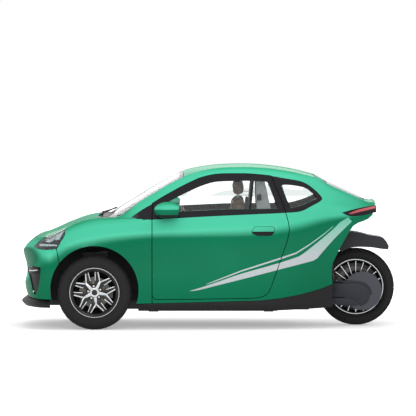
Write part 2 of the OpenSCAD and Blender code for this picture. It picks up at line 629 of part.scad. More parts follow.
// Jacking pads and the underbody tray belong to the frame
module front_subframe() color(dark_grey) difference() {
    union() {
        for (m = [0, 1]) mirror([0, m, 0]) {
            translate([(tub_front + 250) * sx + seat_fit, 270, 180]) cube([(1402 - tub_front - 250) * sx, 60, 80]);
            translate([front_axle_x - 105, 270, 259]) cube([210, 60, 332]);
            translate([front_axle_x - 40, 270, 560]) cube([80, 130, 30]);
            translate([1340 * sx, 270, 180]) cube([71.9 * sx, 60, 260 * sz]);
        }
        translate([front_axle_x - 105, -330, 590]) cube([210, 660, 30]);
        translate([front_axle_x - 105, -330, 180]) cube([210, 660, 60]);
        // Bumper beam and towing boss
        translate([1400 * sx, -480 * sy, 330 * sz]) cube([40 * sx, 960 * sy, 110]);
        translate([tow_x - 80, tow_y - 25, tow_z - 25]) cube([80, 50, 50]);
        // Steering rack housing, ahead of the axle
        translate([front_axle_x + 150, -330, 250]) rotate([-90, 0, 0]) cylinder(r = 24, h = 660, $fn = 32);
        for (m = [0, 1]) mirror([0, m, 0]) translate([front_axle_x + 104, 270, 225]) cube([76, 59, 50]);
    }
    translate([tow_x - 60, tow_y, tow_z]) rotate([0, 90, 0]) cylinder(r = tow_r, h = 61, $fn = 48);
}
tow_x = 1496 * sx;
tow_y = 300;
tow_z = 385 * sz;

battery_top = 290;
module battery_pack() color(steel_grey) translate([-545 * sx, -550 * sy, ground_gap + floor_h + seat_fit])
    cube([735 * sx, 1100 * sy, battery_top - ground_gap - floor_h - seat_fit]);

module wheel_arch_liners() color(black) mesh() for (m = [0, 1]) mirror([0, m, 0])
    difference() {
        translate([front_axle_x, liner_y * sy, arch_z * sz]) rotate([-90, 0, 0]) scale([sx, 1, 1])
            cylinder(r = arch_r + 14, h = 360 * sy, $fn = 64);
        translate([front_axle_x, (liner_y + 4) * sy, arch_z * sz]) rotate([-90, 0, 0]) scale([sx, 1, 1])
            cylinder(r = arch_r + 9, h = 370 * sy, $fn = 64);
        translate([0, 0, -500]) cube([2500, 1000, 500 + 224 * sz]);
        translate([1294 * sx, 0, 0]) cube([300, 1000, 262 * sz]);
        // It ends at the inside of the wing and the bumper
        side_shell(concat(steps(530, 1300, 8), [1306, 1315]), -80, skin + 1, -0.4, top_t, 10, true);
        // Space for the suspension arms and the damper
        translate([front_axle_x - 110, 0, 100]) cube([220, liner_y * sy + 30, 530]);
    }

module rear_wheel_housing() color(black) mesh() scale([sx, 1, 1])
    translate([0, 330 * sy, 0]) rotate([90, 0, 0]) linear_extrude(660 * sy) polygon(concat(
        [for (p = housing_path) [p[0], p[1] * sz]],
        [for (i = [len(housing_path) - 1:-1:0]) [housing_path[i][0] + 5, housing_path[i][1] * sz + 5]]));
housing_path = bend([[-841.3, 394], [-841.3, 480], [-856, 620], [-930, 745], [-1050, 822], [-1170, 862],
    [-1225, 877.2]], 4);
// Height of the housing's underside at x
function housing_z(x) = along([for (i = [len(housing_path) - 1:-1:8]) housing_path[i]], x);

// ---------- Front suspension and steering ----------

pin_r = 9;
low_z = -96;
high_z = 104;
eye_h = 24;

// Two wishbones a side, with an eye round each pin of the upright, and the spring unit
module front_suspension() color(dark_grey) for (m = [0, 1]) mirror([0, m, 0]) {
    for (z = [low_z, high_z]) translate([front_axle_x, kingpin_y, front_axle_z + z]) difference() {
        union() {
            translate([0, 0, -eye_h / 2]) cylinder(r = pin_r + 6, h = eye_h, $fn = 48);
            for (dx = [-80, 80]) rod([dx, 332.5 - kingpin_y, 0], [dx * 0.05, -9, 0], 7);
            if (z == low_z) translate([-12, -86, -8]) cube([24, 74, 18]);
        }
        translate([0, 0, -eye_h / 2 - 5]) cylinder(r = pin_r + seat_fit, h = eye_h + 10, $fn = 48);
    }
    spring_foot = [front_axle_x, kingpin_y - 60, front_axle_z + low_z + 9];
    spring_top = [front_axle_x, 385, 555.3];
    rod(spring_foot, spring_foot + 0.45 * (spring_top - spring_foot), 17);
    rod(spring_foot + 0.4 * (spring_top - spring_foot), spring_top, 10);
}
module rod(a, b, r) {
    v = b - a;
    translate(a) rotate([0, acos(v[2] / norm(v)), atan2(v[1], v[0])]) cylinder(r = r, h = norm(v), $fn = 24);
}

module knuckle() color(steel_grey) translate([front_axle_x, kingpin_y, front_axle_z]) {
    // Upright with a pin at each end, and the spindle that carries the wheel
    translate([-28, -10, low_z + eye_h / 2 + seat_fit]) cube([56, 22, high_z - low_z - eye_h - 2 * seat_fit]);
    for (z = [low_z, high_z]) translate([0, 0, z - eye_h / 2 - 1]) cylinder(r = pin_r, h = eye_h + 2, $fn = 48);
    for (z = [low_z + eye_h / 2 + seat_fit, high_z - eye_h / 2 - seat_fit - 14]) translate([0, 0, z]) cylinder(r = 20, h = 14, $fn = 32);
    rotate([-90, 0, 0]) cylinder(r = 40, h = 13, $fn = 48);
    rotate([-90, 0, 0]) cylinder(r = spindle_r - bearing_fit, h = 55, $fn = 48);
    // Brake caliper behind the axle, round the disc
    difference() {
        translate([-150, 2, -46]) cube([62, 44, 92]);
        translate([0, 14, 0]) rotate([-90, 0, 0]) cylinder(r = 135, h = 20, $fn = 64);
    }
    translate([-100, -6, -18]) cube([80, 15, 36]);
    // Steering arm
    translate([92, -60, low_z + 20]) cube([28, 70, 12]);
    translate([20, -8, low_z + 20]) cube([100, 16, 12]);
}
module left_knuckle() knuckle();
module right_knuckle() right_side() knuckle();

// ---------- Wheels ----------

// Tyre section between the bead and the tread, for one half, turned about its axle
module tyre(outer_r, bead_r, w) {
    h = outer_r - bead_r;
    half = [[bead_r + 0.3, w * 0.352], [bead_r + 17, w * 0.352], [bead_r + 19, w * 0.41], [bead_r + h * 0.3, w * 0.48],
        [bead_r + h * 0.46, w * 0.5], [bead_r + h * 0.66, w * 0.487], [bead_r + h * 0.84, w * 0.45],
        [bead_r + h * 0.94, w * 0.405], [outer_r - h * 0.012, w * 0.33], [outer_r, w * 0.2]];
    rotate([90, 0, 0]) rotate_extrude($fn = 96) polygon(concat(
        [for (p = half) p], [for (i = [len(half) - 1:-1:0]) [half[i][0], -half[i][1]]],
        [[bead_r + 0.3, -w * 0.28], [bead_r + 22, -w * 0.30], [bead_r + 22, w * 0.30], [bead_r + 0.3, w * 0.28]]));
}

// Rim with its bead seats, flanges, spokes, hub and brake disc. The outer face is at +Y.
module rim(bead_r, w, spokes, pair, disc_r, hub_r) difference() {
    union() {
        rotate([90, 0, 0]) rotate_extrude($fn = 96) polygon([
            [bead_r - 12, -w * 0.34], [bead_r + 13, -w * 0.345 - 7], [bead_r + 15, -w * 0.345 - 4],
            [bead_r + 13, -w * 0.36 - 0.4 + 0.4], [bead_r, -w * 0.355], [bead_r, -w * 0.24], [bead_r - 12, -w * 0.2],
            [bead_r - 12, w * 0.2], [bead_r, w * 0.24], [bead_r, w * 0.355], [bead_r + 13, w * 0.36],
            [bead_r + 15, w * 0.345 + 4], [bead_r + 13, w * 0.345 + 7], [bead_r - 12, w * 0.34], [bead_r - 18, w * 0.3],
            [bead_r - 18, -w * 0.3]]);
        // Spokes, each a pair of bars that spread towards the rim
        for (i = [0:spokes - 1]) rotate([0, i * 360 / spokes, 0]) for (k = pair)
            translate([0, -w * spoke_out, 0]) rotate([0, k, 0]) translate([hub_r * 0.7, -7, -7])
                cube([bead_r - 15 - hub_r * 0.7, 16, 14]);
        rotate([90, 0, 0]) translate([0, 0, -2]) cylinder(r = hub_r, h = w * spoke_out + 16, $fn = 64);
        // Hub barrel and brake disc on the inner side
        rotate([-90, 0, 0]) cylinder(r = spindle_r + 16, h = 32, $fn = 48);
        rotate([-90, 0, 0]) translate([0, 0, 22]) cylinder(r = disc_r, h = 8, $fn = 72);
    }
    rotate([-90, 0, 0]) translate([0, 0, -6]) cylinder(r = spindle_r, h = 60, $fn = 48);
}

// How far out the spokes stand from the wheel's middle plane, as a share of the tyre's width
spoke_out = 0.12;

module at_front_left() translate([front_axle_x, wheel_y, front_axle_z]) children();
module front_rim() rim(front_rim_d / 2, front_tyre_w, 5, [-13, 13], 128, 62);
module front_left_tyre() color(black) at_front_left() tyre(front_tyre_d / 2, front_rim_d / 2, front_tyre_w);
module front_right_tyre() color(black) right_side() at_front_left() tyre(front_tyre_d / 2, front_rim_d / 2, front_tyre_w);
module front_left_rim() color(alloy) at_front_left() rotate([0, 0, 180]) front_rim();
module front_right_rim() color(alloy) right_side() at_front_left() rotate([0, 0, 180]) front_rim();

module at_rear() translate([-rear_axle_x, 0, rear_axle_z]) children();
module rear_tyre() color(black) at_rear() tyre(rear_tyre_d / 2, rear_rim_d / 2, rear_tyre_w);
module rear_rim() color(alloy) at_rear() difference() {
    union() {
        rim(rear_rim_d / 2, rear_tyre_w, 10, [-9, 9], 60, 48);
    }
    rotate([90, 0, 0]) cylinder(r = axle_r, h = 200, center = true, $fn = 48);
}
axle_r = spindle_r;

// ---------- Rear suspension ----------

arm_y = 105;
arm_t = 44;

arm_pivot = [-880, 250];
pivot_r = 12;

module swingarm() color(steel_grey) {
    // Two plates, one each side of the wheel
    for (m = [0, 1]) mirror([0, m, 0]) translate([0, arm_y + arm_t, 0]) rotate([90, 0, 0]) linear_extrude(arm_t)
        difference() {
            union() {
                translate([-rear_axle_x, rear_axle_z - 40]) circle(r = 84, $fn = 64);
                polygon([[-rear_axle_x, rear_axle_z + 40], [-1060, 345], [-905, 290], [-905, 212],
                    [-1100, 168], [-rear_axle_x - 8, rear_axle_z - 123]]);
                translate(arm_pivot) circle(r = 36, $fn = 48);
                polygon([[-915, 286], [-880, 285.8], [-880, 214.2], [-915, 212]]);
            }
            translate([-rear_axle_x, rear_axle_z]) circle(r = 12, $fn = 48);
        }
    // Tube between the plates, the pivot pin and the axle
    translate([arm_pivot[0], 0, arm_pivot[1]]) rotate([90, 0, 0]) cylinder(r = 27, h = 2 * arm_y + 2, center = true, $fn = 48);
    translate([arm_pivot[0], 0, arm_pivot[1]]) rotate([90, 0, 0])
        cylinder(r = pivot_r, h = 2 * (arm_y + arm_t + 28), center = true, $fn = 48);
    at_rear() rotate([90, 0, 0]) cylinder(r = 12, h = 2 * (arm_y + arm_t), center = true, $fn = 48);
    at_rear() rotate([90, 0, 0]) cylinder(r = axle_r - bearing_fit, h = 2 * arm_y - 12, center = true, $fn = 48);
}
module drive_cover() color(dark_grey) translate([-rear_axle_x - 54, arm_y + arm_t + 0.3, rear_axle_z - 30])
    rotate([-90, 0, 0]) cylinder(r = 160, h = 34, $fn = 96);

module rear_mudguard() color(dark_grey) mesh() scale([sx, 1, 1]) {
    translate([0, 124, 0]) rotate([90, 0, 0]) linear_extrude(248) polygon(concat(guard_top,
        [for (i = [len(guard_top) - 1:-1:0]) guard_top[i] - [0, 8]]));
    for (m = [0, 1]) mirror([0, m, 0]) translate([0, 125, 0]) rotate([90, 0, 0]) linear_extrude(6)
        polygon(concat(guard_top, guard_low));
    // Bracket up to the housing
    translate([-1160, -70, 760]) cube([50, 140, 12]);
    translate([-1116, -70, 762]) cube([6, 140, housing_z(-1110) - 762 - 0.4]);
}
guard_top = bend([[-1085, 640], [-1160, 776], [-1185, 782], [-1244, 780], [-1353, 755], [-1466, 730], [-1522, 638]], 3);
guard_low = bend([[-1505, 634], [-1440, 640], [-1361, 652], [-1244, 655], [-1165, 640], [-1100, 600]], 3);

module rear_shocks() color(steel_grey) for (m = [-1, 1]) {
    foot = [-1050, m * (arm_y + arm_t / 2), 352];
    top = [-985, m * (arm_y + arm_t / 2), housing_z(-985) - 6.4];
    rod(foot, foot + 0.6 * (top - foot), 22);
    rod(foot + 0.55 * (top - foot), top, 11);
}

// ---------- Hinges ----------

door_hinge_z = [420, 700];
hinge_pin_r = 5;
hinge_barrel_r = 8.5;

// The fixed half of every hinge: two plates and a pin at each door hinge, a pin and a foot at each lid hinge
module hinge_pins() color(dark_grey) {
    for (m = [0, 1], z = door_hinge_z) mirror([0, m, 0]) translate([0, 0, z * sz]) {
        for (k = [-22, 14]) translate([0, 0, k]) linear_extrude(8) {
            translate([door_hinge[0] * sx, door_hinge[1] * sy]) circle(r = hinge_barrel_r, $fn = 32);
            polygon([[480 * sx - seat_fit, 655 * sy], [480 * sx - seat_fit, 688 * sy], [452 * sx, 695 * sy],
                [door_hinge[0] * sx + 6, door_hinge[1] * sy - 5], [door_hinge[0] * sx - 8, door_hinge[1] * sy - 1],
                [door_hinge[0] * sx - 8, 690 * sy]]);
        }
        translate([door_hinge[0] * sx, door_hinge[1] * sy, -22]) cylinder(r = hinge_pin_r, h = 44, $fn = 32);
    }
    lid_pins(hood_hinge, hood_hinge_y, -lid_leaf);
    lid_pins(hatch_hinge, hatch_hinge_y, lid_leaf);
}
module door_hinges() color(dark_grey) for (z = door_hinge_z) {
    skin_y = door_skin_y(z);
    translate([door_hinge[0] * sx, door_hinge[1] * sy, z * sz - 13.7]) difference() {
        union() {
            cylinder(r = hinge_barrel_r, h = 27.4, $fn = 32);
            translate([-14, 0, 0]) cube([26, skin_y - door_hinge[1] * sy, 27.4]);
        }
        translate([0, 0, -5]) cylinder(r = hinge_pin_r + seat_fit, h = 40, $fn = 32);
    }
}
// Inner face of the door skin at a hinge, at its nearest
function door_skin_y(z) = min(body_y(door_hinge[0] * sx, z * sz - 14), body_y(door_hinge[0] * sx, z * sz + 14)) - skin - 1.2;
module left_door_hinges() door_hinges();
module right_door_hinges() right_side() door_hinges();

// Barrel of a lid hinge from y to y, with a leaf that reaches from the axis by leaf
module lid_barrel(axis, from, to, leaf, bore) translate([axis[0] * sx, from, axis[1] * sz]) difference() {
    union() {
        rotate([-90, 0, 0]) cylinder(r = lid_barrel_r, h = to - from, $fn = 32);
        translate([min(0, leaf), 0, -3]) cube([abs(leaf), to - from, 3]);
    }
    if (bore > 0) translate([0, -1, 0]) rotate([-90, 0, 0]) cylinder(r = bore, h = to - from + 2, $fn = 32);
}
module lid_hinges(axis, y, leaf) for (m = [-1, 1]) lid_barrel(axis, m * y * sy - 12, m * y * sy + 12, leaf, 3);
module lid_pins(axis, y, leaf) for (m = [-1, 1]) {
    for (k = [-26, 12.5]) lid_barrel(axis, m * y * sy + k, m * y * sy + k + 13.5, leaf, 0);
    translate([axis[0] * sx, m * y * sy - 26, axis[1] * sz]) rotate([-90, 0, 0]) cylinder(r = 2.7, h = 52, $fn = 32);
}
lid_leaf = 9.2;
module hood_hinges() color(dark_grey) lid_hinges(hood_hinge, hood_hinge_y, lid_leaf);
module tailgate_hinges() color(dark_grey) lid_hinges(hatch_hinge, hatch_hinge_y, -lid_leaf);

// ---------- Cabin ----------

module seat() color(leather) mesh() {
    hull() {
        translate([-230, -seat_w / 2 + 20, battery_top + seat_fit]) cube([460, seat_w - 40, 90]);
        translate([-210, -seat_w / 2, battery_top + 30]) cube([430, seat_w, 80]);
    }
    hull() {
        translate([-300, -seat_w / 2 + 10, battery_top + 40]) cube([110, seat_w - 20, 60]);
        translate([-336, -seat_w / 2 + 60, 1060]) cube([80, seat_w - 120, 30]);
        translate([-330, -seat_w / 2 + 10, 850]) cube([110, seat_w - 20, 60]);
    }
    hull() {
        translate([-296, -100, 1110]) cube([90, 200, 80]);
        translate([-286, -110, 1130]) cube([70, 220, 60]);
    }
    for (y = [-60, 40]) translate([-280, y, 1080]) cube([20, 20, 40]);
}
module left_seat() translate([0, seat_y, 0]) seat();
module right_seat() translate([0, -seat_y, 0]) seat();

module dashboard() color(dark_grey) mesh() difference() {
    scale([sx, sy, sz]) translate([0, 560, 0]) rotate([90, 0, 0]) linear_extrude(1120)
        polygon([[545, scuttle_top + 1 / 3], [440, scuttle_top + 1 / 3], [380, 670], [346, 750], [344, 820],
            [372, 866], [430, 884], [560, 882], [640, 868], [640, 800], [590, 700]]);
    on_column() cylinder(r = 26 + seat_fit, h = 400, $fn = 48);
}

module on_column() translate(steering_hub) rotate([0, 90 + column_tilt, 0]) children();
module steering_wheel() color(black) on_column() {
    rotate_extrude($fn = 72) translate([wheel_rim_d / 2 - 14, 0]) circle(r = 13, $fn = 24);
    for (a = [90, 210, 330]) rotate([0, 0, a]) translate([30, -13, 8]) cube([wheel_rim_d / 2 - 48, 26, 8]);
    translate([0, 0, 0]) cylinder(r = 52, h = 34, $fn = 48);
    cylinder(r = 16, h = 70, $fn = 32);
}
module steering_column() color(dark_grey) on_column() translate([0, 0, 70.4]) {
    cylinder(r = 26, h = 190, $fn = 32);
}

module mirror_housing() mesh() difference() {
    union() {
        translate([334 * sx, 782 * sy, 985 * sz]) scale([104, 80, 66]) sphere(r = 1, $fn = 22);
        translate([340 * sx, 705 * sy, 938 * sz]) scale([56, 60, 24]) sphere(r = 1, $fn = 16);
    }
    side_shell(steps(190, 480, 8), -0.9, 160, 2, top_t, 14, true);
}
module left_mirror() color(paint) mirror_housing();
module right_mirror() color(paint) right_side() mirror_housing();

wiper_x = 880;
module wipers() color(black) for (y = [-120, 330]) {
    foot = top_z(wiper_x, y / seam_y(wiper_x)) * sz - 4 + seat_fit + 1.3;
    tip = top_z(770, (y - 300) / seam_y(770)) * sz + 14;
    translate([wiper_x * sx, y * sy, foot]) cylinder(r = 9, h = 26, $fn = 24);
    rod([wiper_x * sx, y * sy, foot + 20], [770 * sx, (y - 300) * sy, tip], 5);
}

floor_tub();
front_subframe();
battery_pack();
front_bumper();
front_lip();
hood();
cowl_panel();
wipers();
windshield();
roof_panel();
left_fender();
right_fender();
left_body_side();
right_body_side();
left_door();
right_door();
left_door_glass();
right_door_glass();
quarter_glasses();
hatch();
rear_glass();
tail_lamps();
rear_panel();
headlamps();
left_mirror();
right_mirror();
side_sills();
wheel_arch_liners();
rear_wheel_housing();
front_suspension();
left_knuckle();
right_knuckle();
front_left_tyre();
front_left_rim();
front_right_tyre();
front_right_rim();
rear_tyre();
rear_rim();
swingarm();
drive_cover();
rear_mudguard();
rear_shocks();
hinge_pins();
left_door_hinges();
right_door_hinges();
hood_hinges();
tailgate_hinges();
left_seat();
right_seat();
dashboard();
steering_wheel();
steering_column();
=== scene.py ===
import math

import bmesh
import bpy
import numpy as np
from mathutils import Matrix, Vector
from mathutils.geometry import delaunay_2d_cdt


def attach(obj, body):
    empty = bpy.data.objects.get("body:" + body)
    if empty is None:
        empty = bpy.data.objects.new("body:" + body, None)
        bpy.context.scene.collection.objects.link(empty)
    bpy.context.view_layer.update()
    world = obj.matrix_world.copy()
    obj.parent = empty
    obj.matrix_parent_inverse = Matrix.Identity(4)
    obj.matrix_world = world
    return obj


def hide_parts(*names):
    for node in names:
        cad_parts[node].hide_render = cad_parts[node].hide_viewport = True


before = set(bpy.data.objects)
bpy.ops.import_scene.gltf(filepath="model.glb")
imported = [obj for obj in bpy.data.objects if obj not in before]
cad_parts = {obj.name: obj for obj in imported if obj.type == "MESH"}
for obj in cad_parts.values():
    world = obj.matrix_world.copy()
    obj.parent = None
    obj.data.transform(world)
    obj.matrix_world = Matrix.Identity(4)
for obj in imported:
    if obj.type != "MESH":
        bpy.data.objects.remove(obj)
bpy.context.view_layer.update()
scene = bpy.context.scene
MM = 0.001

# ---------------------------------------------------------------- body surface
# The rails and outlines of the body, in millimetres: (x, y, z) or (x, z) rows, from the tail to the nose.
RAILS = [
    [(-1400, 330, 700), (-1200, 405, 470), (-1031, 470, 350), (-935, 520, 320), (-767, 600, 280),
        (-600, 652, 254), (-433, 680, 236), (-266, 692, 230), (69, 700, 222), (403, 703, 213),
        (587, 703, 205), (935, 700, 215), (1300, 698, 250)],
    [(-1400, 352, 780), (-1200, 440, 590), (-1000, 530, 450), (-800, 620, 390), (-600, 682, 350),
        (-300, 718, 335), (0, 728, 330), (560, 735, 330), (935, 742, 330), (1300, 722, 330)],
    [(-1400, 372, 850), (-1200, 468, 690), (-1000, 556, 585), (-800, 636, 530), (-600, 692, 505),
        (-300, 727, 490), (0, 736, 485), (560, 742, 480), (935, 750, 480), (1300, 732, 450)],
    [(-1400, 388, 905), (-1200, 494, 790), (-1000, 580, 710), (-800, 654, 672), (-600, 703, 650),
        (-300, 734, 640), (0, 741, 640), (560, 745, 640), (935, 752, 640), (1300, 728, 575)],
    [(-1400, 402, 945), (-1200, 512, 880), (-1000, 598, 835), (-800, 668, 812), (-600, 714, 800),
        (-300, 742, 792), (0, 748, 790), (560, 747, 795), (935, 742, 780), (1170, 727, 715),
        (1300, 704, 665)],
    [(-1400, 404, 968), (-1269, 474, 955), (-1102, 548, 970), (-935, 606, 968), (-800, 640, 962),
        (-600, 674, 950), (-300, 697, 936), (0, 704, 922), (236, 704, 912), (570, 698, 900),
        (737, 690, 900), (935, 682, 884), (1170, 678, 800), (1300, 664, 726)],
    [(-1400, 372, 990), (-1269, 432, 995), (-1102, 480, 1045), (-935, 527, 1085), (-800, 556, 1102),
        (-600, 586, 1112), (-300, 611, 1115), (0, 621, 1100), (110, 624, 1080), (236, 630, 1045),
        (403, 640, 995), (570, 650, 950), (737, 655, 922), (935, 651, 903), (1170, 640, 826),
        (1300, 620, 750)],
    [(-1400, 332, 1016), (-1269, 386, 1037), (-1102, 432, 1112), (-935, 471, 1193), (-800, 490, 1243),
        (-600, 508, 1281), (-300, 525, 1304), (0, 538, 1284), (110, 546, 1249), (236, 560, 1192),
        (403, 584, 1104), (570, 608, 1012), (737, 628, 929), (935, 636, 911), (1170, 618, 833),
        (1300, 590, 763)],
    [(-1400, 300, 1030), (-1319, 328, 1040), (-1269, 350, 1063), (-1185, 376, 1101),
        (-1102, 400, 1139), (-1018, 423, 1176), (-935, 446, 1221), (-893, 453, 1243),
        (-809, 461, 1267), (-642, 472, 1302), (-475, 481, 1325), (-391, 485, 1330), (-266, 491, 1333),
        (-140, 496, 1330), (-57, 501, 1322), (27, 507, 1308), (110, 514, 1287), (177, 521, 1263),
        (236, 528, 1235), (319, 538, 1194), (403, 550, 1145), (487, 562, 1096), (570, 576, 1046),
        (654, 590, 983), (737, 604, 932), (830, 616, 922), (930, 622, 914), (1072, 616, 879),
        (1170, 602, 834), (1300, 562, 767)]
]
RAIL_FRONTS = [(1505, 262), (1528, 325), (1530, 385), (1503, 455), (1516, 525), (1532, 575),
    (1541, 610), (1543, 626), (1544, 634)]
CROWN = [(-1400, 1039), (-1385, 1049), (-1344, 1046), (-1319, 1051), (-1269, 1073), (-1185, 1110),
    (-1102, 1148), (-1018, 1185), (-976, 1205), (-893, 1252), (-809, 1278), (-726, 1299),
    (-642, 1315), (-558, 1327), (-475, 1336), (-391, 1343), (-308, 1346), (-224, 1345), (-99, 1340),
    (-15, 1333), (69, 1321), (152, 1305), (211, 1288), (319, 1236), (403, 1191), (487, 1144),
    (570, 1093), (654, 1045), (737, 993), (820, 938), (905, 920), (988, 912), (1072, 889),
    (1155, 861), (1239, 824), (1323, 787), (1400, 757), (1440, 738), (1490, 701), (1532, 655),
    (1544, 634)]
CORNER_X, CORNER_POWER, NOSE_X, WRAP = 1300, 0.83, 1544, 6.8
TOP = len(RAILS) - 1
SKIN, WALL, GAP = 6, 50, 6


def along(table, x, c=1):
    """A smooth curve through the rows of a table, column c against column 0."""
    rows = np.array([(r[0], r[c]) for r in table], float)
    xs, ys = rows.T
    x = np.asarray(x, float)
    width, rise = np.diff(xs), np.diff(ys) / np.diff(xs)
    lean = np.concatenate(([rise[0]], (rise[:-1] * width[1:] + rise[1:] * width[:-1]) / (width[:-1] + width[1:]),
        [rise[-1]]))
    i = np.clip(np.searchsorted(xs, x, "right") - 1, 0, len(xs) - 2)
    u = np.clip((x - xs[i]) / width[i], 0, 1)
    return ((2 * u**3 - 3 * u**2 + 1) * ys[i] + (u**3 - 2 * u**2 + u) * width[i] * lean[i]
            + (3 * u**2 - 2 * u**3) * ys[i + 1] + (u**3 - u**2) * width[i] * lean[i + 1])


def bend(points, n=4, closed=False):
    """An evenly curved line through points, n steps between each two."""
    m, out = len(points), []
    for i in range(m if closed else m - 1):
        a = points[(i - 1) % m] if closed else points[max(0, i - 1)]
        b, c = points[i], points[(i + 1) % m]
        d = points[(i + 2) % m] if closed else points[min(m - 1, i + 2)]
        for k in range(n):
            u = k / n
            out.append([0.5 * (2 * q + (r - p) * u + (2 * p - 5 * q + 4 * r - s) * u**2
                + (3 * q - p - 3 * r + s) * u**3) for p, q, r, s in zip(a, b, c, d)])
    return out if closed else out + [list(points[-1])]


def rail(k, s):
    s = np.asarray(s, float)
    a = np.radians(np.clip(s - CORNER_X, 0, 90))
    x = np.minimum(s, CORNER_X)
    y, z = along(RAILS[k], x, 1), along(RAILS[k], x, 2)
    front_x, front_z = RAIL_FRONTS[k]
    return np.stack((x + np.where(s > CORNER_X, (front_x - CORNER_X) * np.sin(a) ** CORNER_POWER, 0),
        y * np.cos(a) ** CORNER_POWER, z + (front_z - z) * np.sin(a) ** 2), -1)


def blend(points, t):
    """Cubic B-spline over the first axis of points, at heights t."""
    first, last = 2 * points[0] - points[1], 2 * points[-1] - points[-2]
    p = np.concatenate(([first], points, [last, last]))
    i = np.clip(np.floor(t).astype(int), 0, TOP - 1)
    u, at = (t - i)[:, None], np.arange(len(t))
    return ((1 - u) ** 3 * p[i, at] + (3 * u**3 - 6 * u**2 + 4) * p[i + 1, at]
            + (3 * u**2 - 3 * u**3 + 3 * u + 1) * p[i + 2, at] + u**3 * p[i + 3, at]) / 6


def side(s, t, deep=0, even=False):
    """Points of the left side at station s and height step t, deep millimetres in."""
    s, t = np.broadcast_arrays(np.asarray(s, float), np.asarray(t, float))
    p = blend(np.stack([rail(k, s) for k in range(TOP + 1)]), np.clip(t, -0.5, TOP))
    a = np.radians(np.clip(s - CORNER_X, 0, 90))
    d = deep if even or deep <= SKIN else SKIN + (deep - SKIN) * np.clip((TOP - t - 0.9) / 0.7, 0, 1)
    return p - np.stack((d * np.sin(a), d * np.cos(a), 0 * a), -1)


def find(x, z):
    """(s, t) of the place on the left side that a side view shows at x, z."""
    x, z = np.asarray(x, float), np.asarray(z, float)
    t = np.full(x.shape, 4.0)
    for _ in range(7):
        fronts = blend(np.stack([np.full(x.shape + (1,), f[0], float) for f in RAIL_FRONTS]), t)[:, 0]
        share = np.clip((x - CORNER_X) / (fronts - CORNER_X), 0, 1)
        s = np.where(x > CORNER_X, CORNER_X + np.degrees(np.arcsin(share ** (1 / CORNER_POWER))), x)
        low, high = np.full(x.shape, -0.5), np.full(x.shape, float(TOP))
        for _ in range(18):
            t = (low + high) / 2
            under = side(s, t)[:, 2] < z
            low, high = np.where(under, t, low), np.where(under, high, t)
    return s, t


def seam_y(x):
    x = np.asarray(x, float)
    a = np.arcsin(np.clip((x - CORNER_X) / (NOSE_X - CORNER_X), 0, 0.9999) ** (1 / CORNER_POWER))
    return np.maximum(4, rail(TOP, np.where(x > CORNER_X, CORNER_X + np.degrees(a), x))[..., 1])


def top_z(x, v):
    x = np.asarray(x, float)
    a = np.arcsin(np.clip((x - CORNER_X) / (NOSE_X - CORNER_X), 0, 1) ** (1 / CORNER_POWER))
    edge = rail(TOP, np.where(x > CORNER_X, CORNER_X + np.degrees(a), x))[..., 2]
    mid = along(CROWN, x)
    return mid - (mid - np.minimum(edge, mid - 2)) * np.abs(v) ** 2.2


# A side panel is laid out flat in u (x, then the turn round the front corner) and v (height step)
STEP_V = 150


def flat(points):
    p = np.array(points, float)
    s, t = find(p[:, 0], p[:, 1])
    return np.stack((np.where(s > CORNER_X, CORNER_X + (s - CORNER_X) * WRAP, s), t * STEP_V), -1)


def on_side(uv, deep, even=False):
    s = np.where(uv[:, 0] > CORNER_X, CORNER_X + (uv[:, 0] - CORNER_X) / WRAP, uv[:, 0])
    return side(s, uv[:, 1] / STEP_V, deep, even)


def on_top(xy, deep):
    return np.stack((xy[:, 0], xy[:, 1], top_z(xy[:, 0], np.clip(np.abs(xy[:, 1]) / seam_y(xy[:, 0]), 0,
        1)) - deep), -1)


def inside(points, ring):
    """Which points lie inside a closed ring."""
    x, y = points[:, 0][:, None], points[:, 1][:, None]
    a, b = np.asarray(ring, float), np.roll(np.asarray(ring, float), -1, 0)
    crosses = (a[:, 1] > y) != (b[:, 1] > y)
    with np.errstate(divide="ignore", invalid="ignore"):
        at = a[:, 0] + (y - a[:, 1]) * (b[:, 0] - a[:, 0]) / (b[:, 1] - a[:, 1])
    return (crosses & (x < at)).sum(1) % 2 == 1


def cut_finer(line, step, closed=True):
    out, m = [], len(line)
    for i in range(m if closed else m - 1):
        a, b = np.asarray(line[i], float), np.asarray(line[(i + 1) % m], float)
        n = max(1, int(np.ceil(np.linalg.norm(b - a) / step)))
        out += [a + (b - a) * k / n for k in range(n)]
    return out if closed else out + [np.asarray(line[-1], float)]


def near_line(points, lines, gap):
    close = np.zeros(len(points), bool)
    for line in lines:
        a = np.asarray(line, float)
        for i in range(0, len(a), 40):
            close |= (np.linalg.norm(points[:, None] - a[None, i:i + 40], axis=2).min(1) < gap)
    return close


